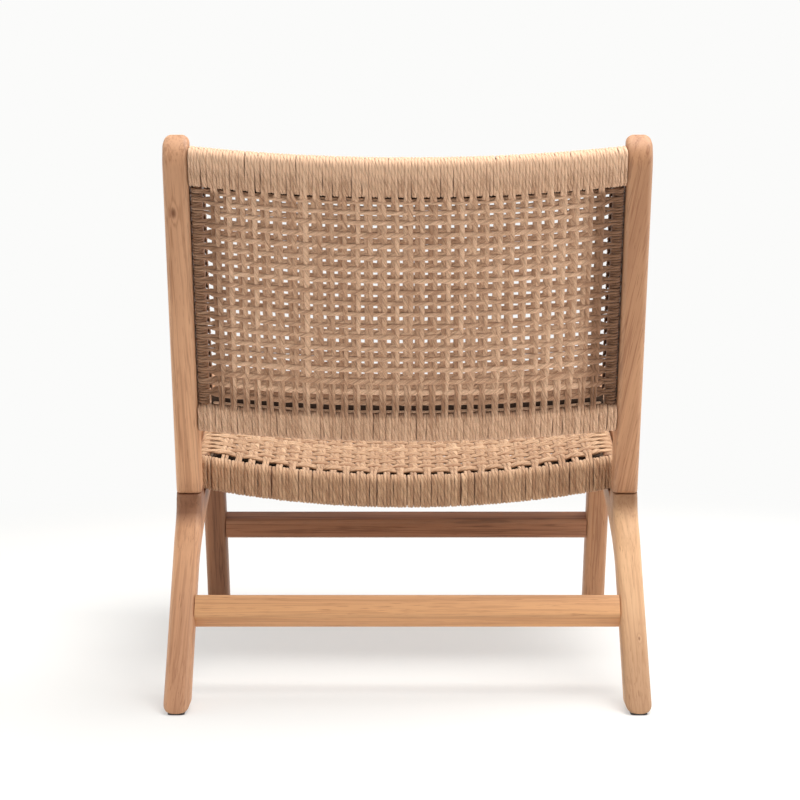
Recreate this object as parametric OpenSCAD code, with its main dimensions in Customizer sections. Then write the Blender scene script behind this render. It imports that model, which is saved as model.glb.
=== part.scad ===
// Low lounge chair without arms: a glued frame of light hardwood that holds
// two bowed panels, a seat and a back, each wrapped and woven in twisted cord.
// X runs across the chair, the sitter faces -Y, Z is up from the floor.

/* [Overall] */
// Width over the side frames
chair_w = 650; // [560:5:760]
// Thickness of posts and legs, across the chair
stock_t = 34.5; // [30:0.5:40]
// Half of the distance from the front toes to the rear heels
foot_reach = 362; // [340:1:380]

/* [Back posts] */
// Lean of the back from upright, degrees
back_lean = 17.7; // [14:0.1:20]
// Where the rear face of the posts would meet the floor plane
back_foot_y = 74.5; // [60:0.5:80]
// Depth of a post, front to rear
post_d = 42; // [38:0.5:48]
// Rise of the posts above the wrapped top rail
post_rise = 10; // [6:0.5:20]
// Length up the slope at which a post stands on its leg
post_foot = 278; // [274:1:284]
// Rounding of the rear edge at the top of a post
post_top_r = 38; // [25:1:38]
// Rounding of the small edges of the frame
edge_r = 7; // [4:0.5:9]
// Rounding of the corners of a post top, seen from the rear
corner_r = 10; // [6:0.5:15]

/* [Seat rails] */
// Slope of the seat, degrees
seat_tilt = 11.7; // [9:0.1:13]
// Height of the seat line over the origin
seat_z = 335.5; // [326:0.5:345]
// Thickness of a seat side rail, across the chair
rail_t = 20; // [16:0.5:22]
// Depth of a seat side rail, which is where the legs start
rail_d = 57.5; // [57:0.5:61]
// Length of a side rail forward of the origin
rail_nose = 345; // [336:1:360]

/* [Legs] */
// Rake of the rear legs from upright, degrees
rear_rake = 38.5; // [36:0.1:39.5]
// Rake of the front legs from upright, degrees
front_rake = 20.8; // [18:0.1:23]
// Depth of a leg, square to its rake
leg_d = 37; // [35:0.5:40]
// Height at which a leg starts to spread towards the rail
rear_flare_z = 160; // [150:1:175]
// Height at which a front leg starts to spread towards the rail
front_flare_z = 235; // [215:1:255]
// Reach of the rear leg's head under the rail, forward of the post
rear_head = 172; // [160:1:185]
// Reach of the straight belly of that head, forward of the post
rear_belly = 95; // [85:1:105]
// Depth of the belly under the rail
rear_belly_d = 35; // [25:0.5:38]
// Reach of the front leg's head under the rail, behind the leg
front_head = 66; // [50:1:80]
// Thickness of the blunt end of each leg's head
head_lip = 10; // [8:0.5:15]
// Rise of the curve under each leg's head before it turns
flare_rise = 37; // [28:1:42]
// Drop of the narrow neck under the heel of the post
neck_drop = 14; // [10:1:18]
// Rounding of the toes, seen from the rear
toe_r = 9; // [5:0.5:12]

/* [Stretchers] */
// Side of the rear stretcher's square section
rear_bar = 36; // [30:0.5:37]
// Height of the rear stretcher's middle
rear_bar_z = 117.5; // [105:0.5:135]
// Side of the front stretcher's square section
front_bar = 34.5; // [28:0.5:36]
// Height of the front stretcher's middle
front_bar_z = 147; // [130:1:165]

/* [Back panel] */
// Lowest edge of the wrapped back panel, up the slope
back_low = 373; // [368:1:385]
// Highest edge of the wrapped back panel, up the slope
back_high = 784; // [740:1:790]
// Height of the wrapped top rail
top_rail_h = 52.5; // [48:0.5:64]
// Height of the wrapped bottom rail
bottom_rail_h = 43.5; // [38:0.5:50]
// Thickness of the wrapped back panel
back_t = 31; // [29:0.5:35]
// Width of a wrapped side slat of the back
back_slat_w = 20; // [19:0.5:26]
// Bow of the bottom rail of the back towards the rear
back_bow = 36; // [28:0.5:40]
// Bow of the top rail of the back towards the rear
back_top_bow = 50; // [40:0.5:52]

/* [Seat panel] */
// Rear edge of the wrapped seat panel, behind the origin
seat_rear = 101; // [90:0.5:104]
// Front edge of the wrapped seat panel, ahead of the origin
seat_front = 319; // [300:1:325]
// Height of the wrapped front and rear rails of the seat
seat_rail_h = 50; // [46:0.5:52]
// Thickness of the wrapped front and rear rails of the seat
seat_rail_t = 24; // [24:0.5:32]
// Drop of the seat panel below the tops of the side rails, at its ends
seat_drop = 4.5; // [2:0.5:4.5]
// Width of a wrapped side slat of the seat
seat_slat_w = 24; // [22:0.5:30]
// Height of a wrapped side slat of the seat
seat_slat_h = 36; // [30:0.5:44]
// Sag of the seat panel in its middle
seat_sag = 32; // [20:0.5:34]

/* [Cord] */
// Diameter of the twisted cord
cord_d = 4.4; // [3.6:0.1:5]
// Free space between the cord wraps and the bare frame
wrap_gap = 1; // [0.6:0.1:2]
// Ribs along the wrap of a long rail
rail_ribs = 34; // [20:1:36]
// Ribs along the wrap of a side slat
slat_ribs = 20; // [12:1:22]
// Depth of the grooves between ribs
rib_depth = 1.2; // [0.6:0.1:1.6]
// Distance of the woven net behind the face of its panel
net_depth = 7; // [5:0.5:9]
// Thickness of the woven net
net_t = 6; // [4:0.5:8]
// Width of one band of the woven net
net_band = 9; // [6:0.5:11]
// Gaps across the woven nets
net_cols = 24; // [12:1:24]
// Gaps up the woven nets
net_rows = 12; // [8:1:12]

/* [Joinery] */
// Diameter of the dowels in the frame
dowel_d = 10; // [8:0.5:12]
// Length of the dowels in the frame
dowel_l = 40; // [30:1:44]
// Diameter of the dowels in the panels
pin_d = 8; // [6:0.5:9]
// Length of the dowels in the panels
pin_l = 32; // [24:1:36]
// Clearance round and past the end of each dowel
dowel_gap = 0.1; // [0.05:0.05:0.2]
// Thickness of a glide under a foot
glide_t = 3; // [2:0.5:5]
// Diameter of the nail that holds a glide
nail_d = 3; // [2:0.5:4]
// Length of that nail
nail_l = 18; // [14:1:24]

/* [Hidden] */

wood_colour = [0.74, 0.54, 0.40];
shade_colour = [0.66, 0.48, 0.36];
cord_colour = [0.78, 0.64, 0.51];
net_colour = [0.72, 0.58, 0.46];
dowel_colour = [0.85, 0.74, 0.60];
glide_colour = [0.13, 0.12, 0.12];
nail_colour = [0.62, 0.63, 0.65];

half_w = chair_w / 2;
post_top = back_high + post_rise;
// Inner faces of the posts and legs, and of the thinner seat rails
inner_w = half_w - stock_t;
seat_half = half_w - rail_t;
// Cord thickness as a hard sleeve, and the room between it and its core
sleeve_gap = 0.5;
sleeve_chamfer = 3;
fine = 64;

// Places in the side view are [y, z] pairs
function on_slope(up, out) = [
    back_foot_y + up * sin(back_lean) + out * cos(back_lean),
    up * cos(back_lean) - out * sin(back_lean)
];
function under_seat(y, depth) = [
    y, seat_z - y * tan(seat_tilt) - depth / cos(seat_tilt)
];
function mix(a, b, t) = a * (1 - t) + b * t;
function curve(a, b, c, steps) = [
    for (i = [0 : steps]) let (t = i / steps)
        mix(mix(a, b, t), mix(b, c, t), t)
];

// Rear leg, side view
rear_run = tan(rear_rake);
leg_w_rear = leg_d / cos(rear_rake);
function rear_face(z) = [foot_reach - (z - glide_t) * rear_run, z];
function rear_shin(z) = rear_face(z) - [leg_w_rear, 0];
heel = on_slope(post_foot, 0);
neck_y = heel[0] - 1;
neck = [neck_y, heel[1] - neck_drop];
knee = rear_face(glide_t + (foot_reach - neck_y) / rear_run);
toe_front = on_slope(post_foot, -post_d);
// The notch where the rail's end, the post and the leg meet
notch_up = (under_seat(0, rail_d)[1] - back_foot_y * tan(seat_tilt)
    + post_d * (cos(back_lean) * tan(seat_tilt) - sin(back_lean)))
    / (cos(back_lean) + sin(back_lean) * tan(seat_tilt));
notch = on_slope(notch_up, -post_d);
rear_head_end = under_seat(notch[0] - rear_head, rail_d);
rear_flare_aim = rear_shin(rear_flare_z + flare_rise);
belly_end = under_seat(notch[0] - rear_belly, rail_d) - [0, rear_belly_d];
rear_head_aim = belly_end + (belly_end - rear_flare_aim) * 0.3;

// Front leg, side view
front_run = tan(front_rake);
leg_w_front = leg_d / cos(front_rake);
function front_face(z) = [-foot_reach + (z - glide_t) * front_run, z];
function front_calf(z) = front_face(z) + [leg_w_front, 0];
// Height at which a line of the front leg, y0 behind its face, meets the rail
function meet_rail(y0) = (under_seat(front_face(0)[0] + y0, rail_d)[1])
    / (1 + front_run * tan(seat_tilt));
front_top = front_face(meet_rail(0));
calf_top = front_calf(meet_rail(leg_w_front));
front_head_end = under_seat(calf_top[0] + front_head, rail_d);
front_flare_aim = front_calf(front_flare_z + flare_rise);

// Middles of the stretchers
rear_bar_y = rear_face(rear_bar_z)[0] - leg_w_rear / 2;
front_bar_y = front_face(front_bar_z)[0] + leg_w_front / 2;

// Panels are drawn with X across, Y the way they bow and Z along them
back_span = inner_w;
seat_span = seat_half;
back_mid = -back_t / 2;
seat_mid = seat_drop + seat_rail_h / 2;
slat_mid = seat_drop + seat_slat_h / 2;
weave_bow = (back_bow + back_top_bow) / 2;
function bow_radius(span, bow) = (span * span + bow * bow) / (2 * bow);

module on_back() {
    translate([0, back_foot_y, 0])
        rotate([-back_lean, 0, 0])
            children();
}

module on_seat() {
    translate([0, 0, seat_z])
        rotate([-(90 + seat_tilt), 0, 0])
            children();
}

module both_sides() {
    children();
    mirror([1, 0, 0])
        children();
}

// A side-view outline as a board between two distances from the middle
module board(points, from_x, thick) {
    translate([from_x, 0, 0])
        rotate([90, 0, 90])
            linear_extrude(thick)
                polygon(points);
}

module rounded_box_outline(w, h, r) {
    square([w - 2 * r, h], center = true);
    square([w, h - 2 * r], center = true);
    for (sx = [-1, 1])
        for (sy = [-1, 1])
            translate([sx * (w / 2 - r), sy * (h / 2 - r)])
                circle(r, $fn = fine);
}

// One dowel hole or dowel along Z, centred on its joint
module peg(d, l, extra) {
    cylinder(h = l + 2 * extra, d = d + 2 * extra, center = true, $fn = 32);
}

// Two dowels up from each leg's shoulder into the post, in its inner half
module knee_pegs(extra) {
    for (share = [0.27, 0.73]) {
        spot = on_slope(post_foot, -post_d * share);
        translate([inner_w + dowel_d * 0.9, spot[0], spot[1]])
            rotate([-back_lean, 0, 0])
                peg(dowel_d, dowel_l * 0.75, extra);
    }
}

// Two dowels from the front face of each post into the end of the rail
module side_rail_pegs(extra) {
    for (step = [1.2, 2.9]) {
        spot = on_slope(post_foot + step * pin_d, -post_d);
        translate([half_w - rail_t / 2, spot[0], spot[1]])
            rotate([90 - seat_tilt, 0, 0])
                peg(pin_d, dowel_l * 0.75, extra);
    }
}

// Two dowels up from each leg's head into the rail
module leg_head_pegs(extra) {
    spots = [
        mix(notch, rear_head_end, 0.18), mix(notch, rear_head_end, 0.48),
        mix(front_top, front_head_end, 0.16), mix(front_top, front_head_end, 0.5)
    ];
    for (spot = spots)
        translate([half_w - rail_t / 2, spot[0], spot[1]])
            rotate([-seat_tilt, 0, 0])
                peg(pin_d, dowel_l * 0.6, extra);
}

module stretcher_pegs(extra) {
    pitch = rear_bar * 0.22;
    for (step = [-1, 1]) {
        translate([inner_w, rear_bar_y + step * pitch * sin(rear_rake),
                rear_bar_z - step * pitch * cos(rear_rake)])
            rotate([0, 90, 0])
                peg(pin_d, dowel_l, extra);
        translate([inner_w, front_bar_y - step * pitch * sin(front_rake),
                front_bar_z - step * pitch * cos(front_rake)])
            rotate([0, 90, 0])
                peg(pin_d, dowel_l, extra);
    }
}

module back_panel_pegs(extra) {
    for (up = [back_low + bottom_rail_h * 0.5, back_high - top_rail_h * 0.25,
            back_high - top_rail_h * 0.58])
        on_back()
            translate([inner_w, back_mid, up])
                rotate([0, 90, 0])
                    peg(pin_d, pin_l, extra);
}

module seat_panel_pegs(extra) {
    for (along = [seat_rear - seat_rail_t / 2, -seat_front + seat_rail_t / 2])
        for (share = [0.5, 0.68])
            on_seat()
                translate([seat_half, seat_drop + seat_rail_h * share, along])
                    rotate([0, 90, 0])
                        peg(pin_d, pin_l * 0.8, extra);
}

// Dowels between each slat and the rails that it stands between
module slat_pegs(extra) {
    for (up = [back_low + bottom_rail_h - cord_d, back_high - top_rail_h + cord_d])
        on_back()
            translate([back_slat_x, back_mid, up])
                peg(slat_pin_d, pin_l * 0.75, extra);
    for (along = [seat_rear - seat_rail_t + cord_d, -seat_front + seat_rail_t - cord_d])
        on_seat()
            translate([seat_slat_x, slat_mid, along])
                peg(slat_pin_d, pin_l * 0.75, extra);
}

slat_pin_d = pin_d * 0.75;
// Middles of the slats, one cord and one gap away from the frame
back_slat_x = inner_w - wrap_gap - back_slat_w / 2;
seat_slat_x = seat_half - wrap_gap - seat_slat_w / 2;

// Back post: a rounded bar along the slope with a swept top
module post_outline() {
    difference() {
        translate([-post_d, post_foot])
            square([post_d, post_top - post_foot]);
        difference() {
            translate([-post_top_r, post_top - post_top_r])
                square([post_top_r + 1, post_top_r + 1]);
            translate([-post_top_r, post_top - post_top_r])
                circle(post_top_r, $fn = fine * 2);
        }
        difference() {
            translate([-edge_r, post_foot - 1])
                square([edge_r + 1, edge_r + 1]);
            translate([-edge_r, post_foot + edge_r])
                circle(edge_r, $fn = fine);
        }
    }
}

module post_bar() {
    intersection() {
        translate([half_w - stock_t / 2, -post_d / 2, post_foot])
            linear_extrude(post_top - post_foot)
                rounded_box_outline(stock_t, post_d, edge_r);
        translate([inner_w - 1, 0, 0])
            rotate([90, 0, 90])
                linear_extrude(stock_t + 2)
                    post_outline();
        translate([0, 1, 0])
            rotate([90, 0, 0])
                linear_extrude(post_d + 2)
                    difference() {
                        translate([inner_w - 1, post_foot - 1])
                            square([stock_t + 2, post_top - post_foot + 2]);
                        translate([half_w - stock_t / 2, post_top])
                            for (side = [-1, 1])
                                translate([side * (stock_t / 2 - corner_r), -corner_r])
                                    difference() {
                                        translate([side > 0 ? 0 : -corner_r - 2, 0])
                                            square(corner_r + 2);
                                        circle(corner_r, $fn = fine);
                                    }
                    }
    }
}

module back_post() {
    color(wood_colour)
        difference() {
            on_back()
                post_bar();
            knee_pegs(dowel_gap);
            side_rail_pegs(dowel_gap);
            back_panel_pegs(dowel_gap);
        }
}

// Seat side rail: a rounded bar along the seat line that ends on the post
module seat_side_rail() {
    nose = rail_nose / cos(seat_tilt);
    color(wood_colour)
        difference() {
            intersection() {
                board([notch, on_slope(notch_up + 2 * rail_d, -post_d),
                    [-rail_nose * 1.2, seat_z * 2], under_seat(-rail_nose * 1.2, rail_d)],
                    seat_half, rail_t);
                on_seat()
                    translate([seat_half + rail_t / 2, rail_d / 2, -nose])
                        linear_extrude(nose + foot_reach)
                            rounded_box_outline(rail_t, rail_d, edge_r);
                on_seat()
                    translate([seat_half, 0, 0])
                        rotate([90, 0, 90])
                            linear_extrude(rail_t)
                                nose_outline(nose, rail_d * 0.42);
            }
            side_rail_pegs(dowel_gap);
            leg_head_pegs(dowel_gap);
            seat_panel_pegs(dowel_gap);
        }
}

module nose_outline(nose, r) {
    translate([0, -nose + r])
        square([rail_d, nose + foot_reach]);
    translate([r, -nose])
        square([rail_d - 2 * r, r * 2]);
    for (y = [r, rail_d - r])
        translate([y, -nose + r])
            circle(r, $fn = fine);
}

// Rounds the two lower corners of a foot, seen from the rear
module toe_window(deep) {
    translate([0, deep, 0])
        rotate([90, 0, 0])
            linear_extrude(2 * deep)
                union() {
                    translate([inner_w - 1, glide_t + toe_r])
                        square([stock_t + 2, seat_z * 2]);
                    translate([inner_w + toe_r, glide_t])
                        square([stock_t - 2 * toe_r, toe_r * 2]);
                    for (x = [inner_w + toe_r, half_w - toe_r])
                        translate([x, glide_t + toe_r])
                            circle(toe_r, $fn = fine);
                }
}

module rear_leg() {
    outline = concat(
        [rear_face(glide_t)],
        curve(rear_face(knee[1] - 26), knee, neck, 8),
        [heel, toe_front, notch, rear_head_end],
        curve(rear_head_end - [0, head_lip], rear_head_aim, belly_end, 6),
        curve(belly_end, rear_flare_aim, rear_shin(rear_flare_z), 12),
        [rear_shin(glide_t)]
    );
    color(wood_colour)
        difference() {
            intersection() {
                board(outline, inner_w, stock_t);
                toe_window(foot_reach * 2);
            }
            knee_pegs(dowel_gap);
            leg_head_pegs(dowel_gap);
            stretcher_pegs(dowel_gap);
            nail_hole(rear_nail);
        }
}

module front_leg() {
    outline = concat(
        [front_face(glide_t), front_top, front_head_end],
        curve(front_head_end - [0, head_lip], front_flare_aim, front_calf(front_flare_z), 12),
        [front_calf(glide_t)]
    );
    color(wood_colour)
        difference() {
            intersection() {
                board(outline, inner_w, stock_t);
                toe_window(foot_reach * 2);
            }
            leg_head_pegs(dowel_gap);
            stretcher_pegs(dowel_gap);
            nail_hole(front_nail);
        }
}

module stretcher(y, z, side, rake) {
    color(shade_colour)
        difference() {
            translate([-inner_w, y, z])
                rotate([rake, 0, 0])
                    rotate([90, 0, 90])
                        linear_extrude(2 * inner_w)
                            rounded_box_outline(side, side, edge_r);
            both_sides()
                stretcher_pegs(dowel_gap);
        }
}

// Glides and their nails stand square to the floor
glide_w = stock_t - 2 * toe_r + 6;
glide_l = leg_d;
rear_nail = [half_w - stock_t / 2, foot_reach - leg_w_rear / 2];
front_nail = [half_w - stock_t / 2, -foot_reach + leg_w_front / 2];
head_d = nail_d * 2.2;
head_t = 1.2;

module nail(at, extra) {
    translate([at[0], at[1], glide_t - head_t])
        cylinder(h = nail_l + extra, d = nail_d + 2 * extra, $fn = 24);
}

module nail_hole(at) {
    nail(at, dowel_gap);
}

module glide(at) {
    color(glide_colour)
        difference() {
            translate([at[0], at[1], 0])
                linear_extrude(glide_t)
                    rounded_box_outline(glide_w, glide_l, 5);
            nail(at, dowel_gap);
            translate([at[0], at[1], glide_t - head_t - 0.6])
                cylinder(h = head_t, d = head_d + 2 * dowel_gap, $fn = 32);
        }
}

// Panel rails: cores bent to the bow of the panel, ends cut flat
module bent_core(span, bow, mid, thick, low, high, core_r) {
    radius = bow_radius(span, bow);
    reach = asin(span / radius) + 2;
    intersection() {
        translate([0, mid + bow - radius, 0])
            rotate([0, 0, 90 - reach])
                rotate_extrude(angle = 2 * reach, $fn = 720)
                    translate([radius, (low + high) / 2])
                        rounded_box_outline(thick - 2 * cord_d, high - low - 2 * cord_d, core_r);
        translate([-span, mid - bow - thick, low])
            cube([2 * span, 2 * (bow + thick), high - low]);
    }
}

core_r = 6;
module back_rail(low, high, bow) {
    color(shade_colour)
        difference() {
            on_back()
                bent_core(back_span, bow, back_mid, back_t, low, high, core_r);
            both_sides()
                back_panel_pegs(dowel_gap);
            both_sides()
                slat_pegs(dowel_gap);
        }
}

module seat_rail(low, high) {
    color(shade_colour)
        difference() {
            on_seat()
                bent_core(seat_span, seat_sag, seat_mid, seat_rail_h, low, high, core_r);
            both_sides()
                seat_panel_pegs(dowel_gap);
            both_sides()
                slat_pegs(dowel_gap);
        }
}

module straight_core(x, mid, w, thick, low, high) {
    translate([x, mid, low])
        linear_extrude(high - low)
            rounded_box_outline(w - 2 * cord_d, thick - 2 * cord_d, 4);
}

// The slats run from core to core, so they pass through the wraps of the rails
module back_slat_core(extra) {
    on_back()
        straight_core(back_slat_x, back_mid, back_slat_w + extra, back_t + extra,
            back_low + bottom_rail_h - cord_d, back_high - top_rail_h + cord_d);
}

module seat_slat_core(extra) {
    on_seat()
        straight_core(seat_slat_x, slat_mid, seat_slat_w + extra, seat_slat_h + extra,
            -seat_front + seat_rail_t - cord_d, seat_rear - seat_rail_t + cord_d);
}

module back_slat() {
    color(shade_colour)
        difference() {
            back_slat_core(0);
            slat_pegs(dowel_gap);
        }
}

module seat_slat() {
    color(shade_colour)
        difference() {
            seat_slat_core(0);
            slat_pegs(dowel_gap);
        }
}

// Eight corners of a box section with cut corners, as [outward, along] pairs
function cut_box(a, b, c) = [
    [a, -b + c], [a, b - c], [a - c, b], [-a + c, b],
    [-a, b - c], [-a, -b + c], [-a + c, -b], [a - c, -b]
];
// Two triangles for each side of each step between rings of eight
function skin(rings, first, flip) = [
    for (r = [0 : rings - 2])
        for (s = [0 : 7])
            let (a = first + r * 8 + s, b = first + r * 8 + (s + 1) % 8, c = a + 8, d = b + 8)
                for (tri = flip ? [[a, c, b], [b, c, d]] : [[a, b, c], [b, d, c]])
                    tri
];
// The flat ring between an outer and an inner ring of eight
function rim(outer, inner, flip) = [
    for (s = [0 : 7])
        let (a = outer + s, b = outer + (s + 1) % 8, c = inner + s, d = inner + (s + 1) % 8)
            for (tri = flip ? [[a, c, b], [b, c, d]] : [[a, b, c], [b, d, c]])
                tri
];

bore_rings = 13;
// A ribbed sleeve along a bowed rail: x across, y outward, z along the panel
module bent_wrap(span, bow, mid, thick, low, high, ribs) {
    radius = bow_radius(span, bow);
    reach = span - wrap_gap;
    rings = 2 * ribs + 1;
    lift = [for (i = [0 : rings - 1]) i % 2 == 0 ? -rib_depth : 0];
    function ring_at(x, a, b, c) = [
        for (p = cut_box(a, b, c)) [
            x,
            mid + bow - radius + sqrt(pow(radius + p[0], 2) - x * x),
            (low + high) / 2 + p[1]
        ]
    ];
    outer = [
        for (i = [0 : rings - 1])
            each ring_at(mix(-reach, reach, i / (rings - 1)),
                thick / 2 + lift[i], (high - low) / 2 + lift[i], sleeve_chamfer + 2)
    ];
    bore = [
        for (i = [0 : bore_rings - 1])
            each ring_at(mix(-reach, reach, i / (bore_rings - 1)),
                thick / 2 - cord_d + sleeve_gap, (high - low) / 2 - cord_d + sleeve_gap,
                sleeve_chamfer)
    ];
    start = rings * 8;
    polyhedron(
        points = concat(outer, bore),
        faces = concat(
            skin(rings, 0, true), skin(bore_rings, start, false),
            rim(0, start, false),
            rim((rings - 1) * 8, start + (bore_rings - 1) * 8, true)),
        convexity = 6
    );
}

// A ribbed sleeve along a straight slat
module straight_wrap(x, mid, w, thick, low, high, ribs) {
    rings = 2 * ribs + 1;
    lift = [for (i = [0 : rings - 1]) i % 2 == 0 ? -rib_depth : 0];
    function ring_at(z, a, b, c) = [
        for (p = cut_box(a, b, c)) [x + p[0], mid + p[1], z]
    ];
    outer = [
        for (i = [0 : rings - 1])
            each ring_at(mix(low, high, i / (rings - 1)),
                w / 2 + lift[i], thick / 2 + lift[i], sleeve_chamfer)
    ];
    bore = [
        for (z = [low, high])
            each ring_at(z, w / 2 - cord_d + sleeve_gap, thick / 2 - cord_d + sleeve_gap, 1.5)
    ];
    start = rings * 8;
    polyhedron(
        points = concat(outer, bore),
        faces = concat(
            skin(rings, 0, false), skin(2, start, true),
            rim(0, start, true),
            rim((rings - 1) * 8, start + 8, false)),
        convexity = 6
    );
}

slat_wrap_gap = 0.3;
module back_rail_wrap(low, high, bow) {
    color(cord_colour)
        difference() {
            on_back()
                bent_wrap(back_span, bow, back_mid, back_t, low, high, rail_ribs);
            both_sides()
                back_slat_core(2 * slat_wrap_gap);
        }
}

module seat_rail_wrap(low, high) {
    color(cord_colour)
        difference() {
            on_seat()
                bent_wrap(seat_span, seat_sag, seat_mid, seat_rail_h, low, high, rail_ribs);
            both_sides()
                seat_slat_core(2 * slat_wrap_gap);
        }
}

module back_slat_wrap() {
    color(cord_colour)
        on_back()
            straight_wrap(back_slat_x, back_mid, back_slat_w, back_t,
                back_low + bottom_rail_h + slat_wrap_gap, back_high - top_rail_h - slat_wrap_gap,
                slat_ribs);
}

module seat_slat_wrap() {
    color(cord_colour)
        on_seat()
            straight_wrap(seat_slat_x, slat_mid, seat_slat_w, seat_slat_h,
                -seat_front + seat_rail_t + slat_wrap_gap, seat_rear - seat_rail_t - slat_wrap_gap,
                slat_ribs);
}

// A bowed sheet cut by a grid of square gaps
module net(span, edge_x, bow, face, low, high) {
    radius = bow_radius(span, bow);
    outer_r = radius + net_t / 2;
    inner_r = radius - net_t / 2;
    col_pitch = (2 * edge_x + net_band) / net_cols;
    row_pitch = (high - low + net_band) / net_rows;
    difference() {
        intersection() {
            translate([0, face + bow - radius, low])
                difference() {
                    cylinder(h = high - low, r = outer_r, $fn = 720);
                    translate([0, 0, -1])
                        cylinder(h = high - low + 2, r = inner_r, $fn = 720);
                }
            translate([-edge_x, face - bow, low])
                cube([2 * edge_x, 4 * bow, high - low]);
        }
        for (i = [0 : net_cols - 1])
            for (j = [0 : net_rows - 1])
                translate([-edge_x + i * col_pitch, face - bow, low + j * row_pitch])
                    cube([col_pitch - net_band, 4 * bow, row_pitch - net_band]);
    }
}

module back_weave() {
    color(net_colour)
        on_back()
            net(back_span, back_slat_x - back_slat_w / 2 - slat_wrap_gap, weave_bow, -net_depth,
                back_low + bottom_rail_h + slat_wrap_gap, back_high - top_rail_h - slat_wrap_gap);
}

module seat_weave() {
    color(net_colour)
        on_seat()
            net(seat_span, seat_slat_x - seat_slat_w / 2 - slat_wrap_gap, seat_sag, seat_drop + net_depth,
                -seat_front + seat_rail_t + slat_wrap_gap,
                seat_rear - seat_rail_t - slat_wrap_gap);
}

module glide_nails() {
    color(nail_colour)
        both_sides()
            for (at = [rear_nail, front_nail]) {
                nail(at, 0);
                translate([at[0], at[1], glide_t - head_t - 0.6])
                    cylinder(h = 0.6, d = head_d, $fn = 32);
            }
}

back_post();  // left_back_post
mirror([1, 0, 0]) back_post();  // right_back_post
seat_side_rail();  // left_seat_side_rail
mirror([1, 0, 0]) seat_side_rail();  // right_seat_side_rail
rear_leg();  // left_rear_leg
mirror([1, 0, 0]) rear_leg();  // right_rear_leg
front_leg();  // left_front_leg
mirror([1, 0, 0]) front_leg();  // right_front_leg
stretcher(rear_bar_y, rear_bar_z, rear_bar, rear_rake);  // rear_stretcher
stretcher(front_bar_y, front_bar_z, front_bar, -front_rake);  // front_stretcher
back_rail(back_high - top_rail_h, back_high, back_top_bow);  // back_top_rail
back_rail(back_low, back_low + bottom_rail_h, back_bow);  // back_bottom_rail
back_slat();  // left_back_slat
mirror([1, 0, 0]) back_slat();  // right_back_slat
seat_rail(-seat_front, -seat_front + seat_rail_t);  // seat_front_rail
seat_rail(seat_rear - seat_rail_t, seat_rear);  // seat_rear_rail
seat_slat();  // left_seat_slat
mirror([1, 0, 0]) seat_slat();  // right_seat_slat
back_rail_wrap(back_high - top_rail_h, back_high, back_top_bow);  // back_top_wrap
back_rail_wrap(back_low, back_low + bottom_rail_h, back_bow);  // back_bottom_wrap
back_slat_wrap();  // left_back_wrap
mirror([1, 0, 0]) back_slat_wrap();  // right_back_wrap
seat_rail_wrap(-seat_front, -seat_front + seat_rail_t);  // seat_front_wrap
seat_rail_wrap(seat_rear - seat_rail_t, seat_rear);  // seat_rear_wrap
seat_slat_wrap();  // left_seat_wrap
mirror([1, 0, 0]) seat_slat_wrap();  // right_seat_wrap
back_weave();
seat_weave();
glide(rear_nail);  // left_rear_glide
mirror([1, 0, 0]) glide(rear_nail);  // right_rear_glide
glide(front_nail);  // left_front_glide
mirror([1, 0, 0]) glide(front_nail);  // right_front_glide
glide_nails();
color(dowel_colour) both_sides() knee_pegs(0);  // knee_dowels
color(dowel_colour) both_sides() side_rail_pegs(0);  // side_rail_dowels
color(dowel_colour) both_sides() leg_head_pegs(0);  // leg_head_dowels
color(dowel_colour) both_sides() stretcher_pegs(0);  // stretcher_dowels
color(dowel_colour) both_sides() back_panel_pegs(0);  // back_panel_dowels
color(dowel_colour) both_sides() seat_panel_pegs(0);  // seat_panel_dowels
color(dowel_colour) both_sides() slat_pegs(0);  // slat_dowels
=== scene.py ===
import math

import bpy
import numpy as np
from mathutils import Matrix, Vector


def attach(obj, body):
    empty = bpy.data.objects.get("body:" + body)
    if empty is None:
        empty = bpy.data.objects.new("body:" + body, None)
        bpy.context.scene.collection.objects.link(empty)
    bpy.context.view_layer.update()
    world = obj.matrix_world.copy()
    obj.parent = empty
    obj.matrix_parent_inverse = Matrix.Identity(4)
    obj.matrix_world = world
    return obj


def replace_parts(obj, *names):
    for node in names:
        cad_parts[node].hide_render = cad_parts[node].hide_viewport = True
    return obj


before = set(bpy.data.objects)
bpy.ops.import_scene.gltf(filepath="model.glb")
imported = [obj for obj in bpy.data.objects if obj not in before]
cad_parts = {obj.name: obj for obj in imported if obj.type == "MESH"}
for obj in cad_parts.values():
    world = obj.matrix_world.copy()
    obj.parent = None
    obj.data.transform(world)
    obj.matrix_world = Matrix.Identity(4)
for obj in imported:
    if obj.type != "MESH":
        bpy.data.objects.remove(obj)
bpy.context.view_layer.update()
print("frame loaded:", len(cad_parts), "nodes")

rng = np.random.default_rng(7045)
mm = 0.001


# Camera: behind the chair, level with the top of its back
cameraPlan = {
    "place": (0.010, 3.158, 0.729),
    "tiltDown": 5.0,
    "focalPixels": 2150,
    "frameWidth": 800,
    "sensor": 36.0,
    "shiftY": -0.06,
}


def makeCamera(plan):
    data = bpy.data.cameras.new("viewCamera")
    data.sensor_width = plan["sensor"]
    data.lens = plan["focalPixels"] * plan["sensor"] / plan["frameWidth"]
    data.shift_y = plan["shiftY"]
    data.clip_end = 60
    camera = bpy.data.objects.new("viewCamera", data)
    bpy.context.scene.collection.objects.link(camera)
    camera.location = plan["place"]
    camera.rotation_euler = (math.radians(90 - plan["tiltDown"]), 0, math.pi)
    bpy.context.scene.camera = camera


makeCamera(cameraPlan)


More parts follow.
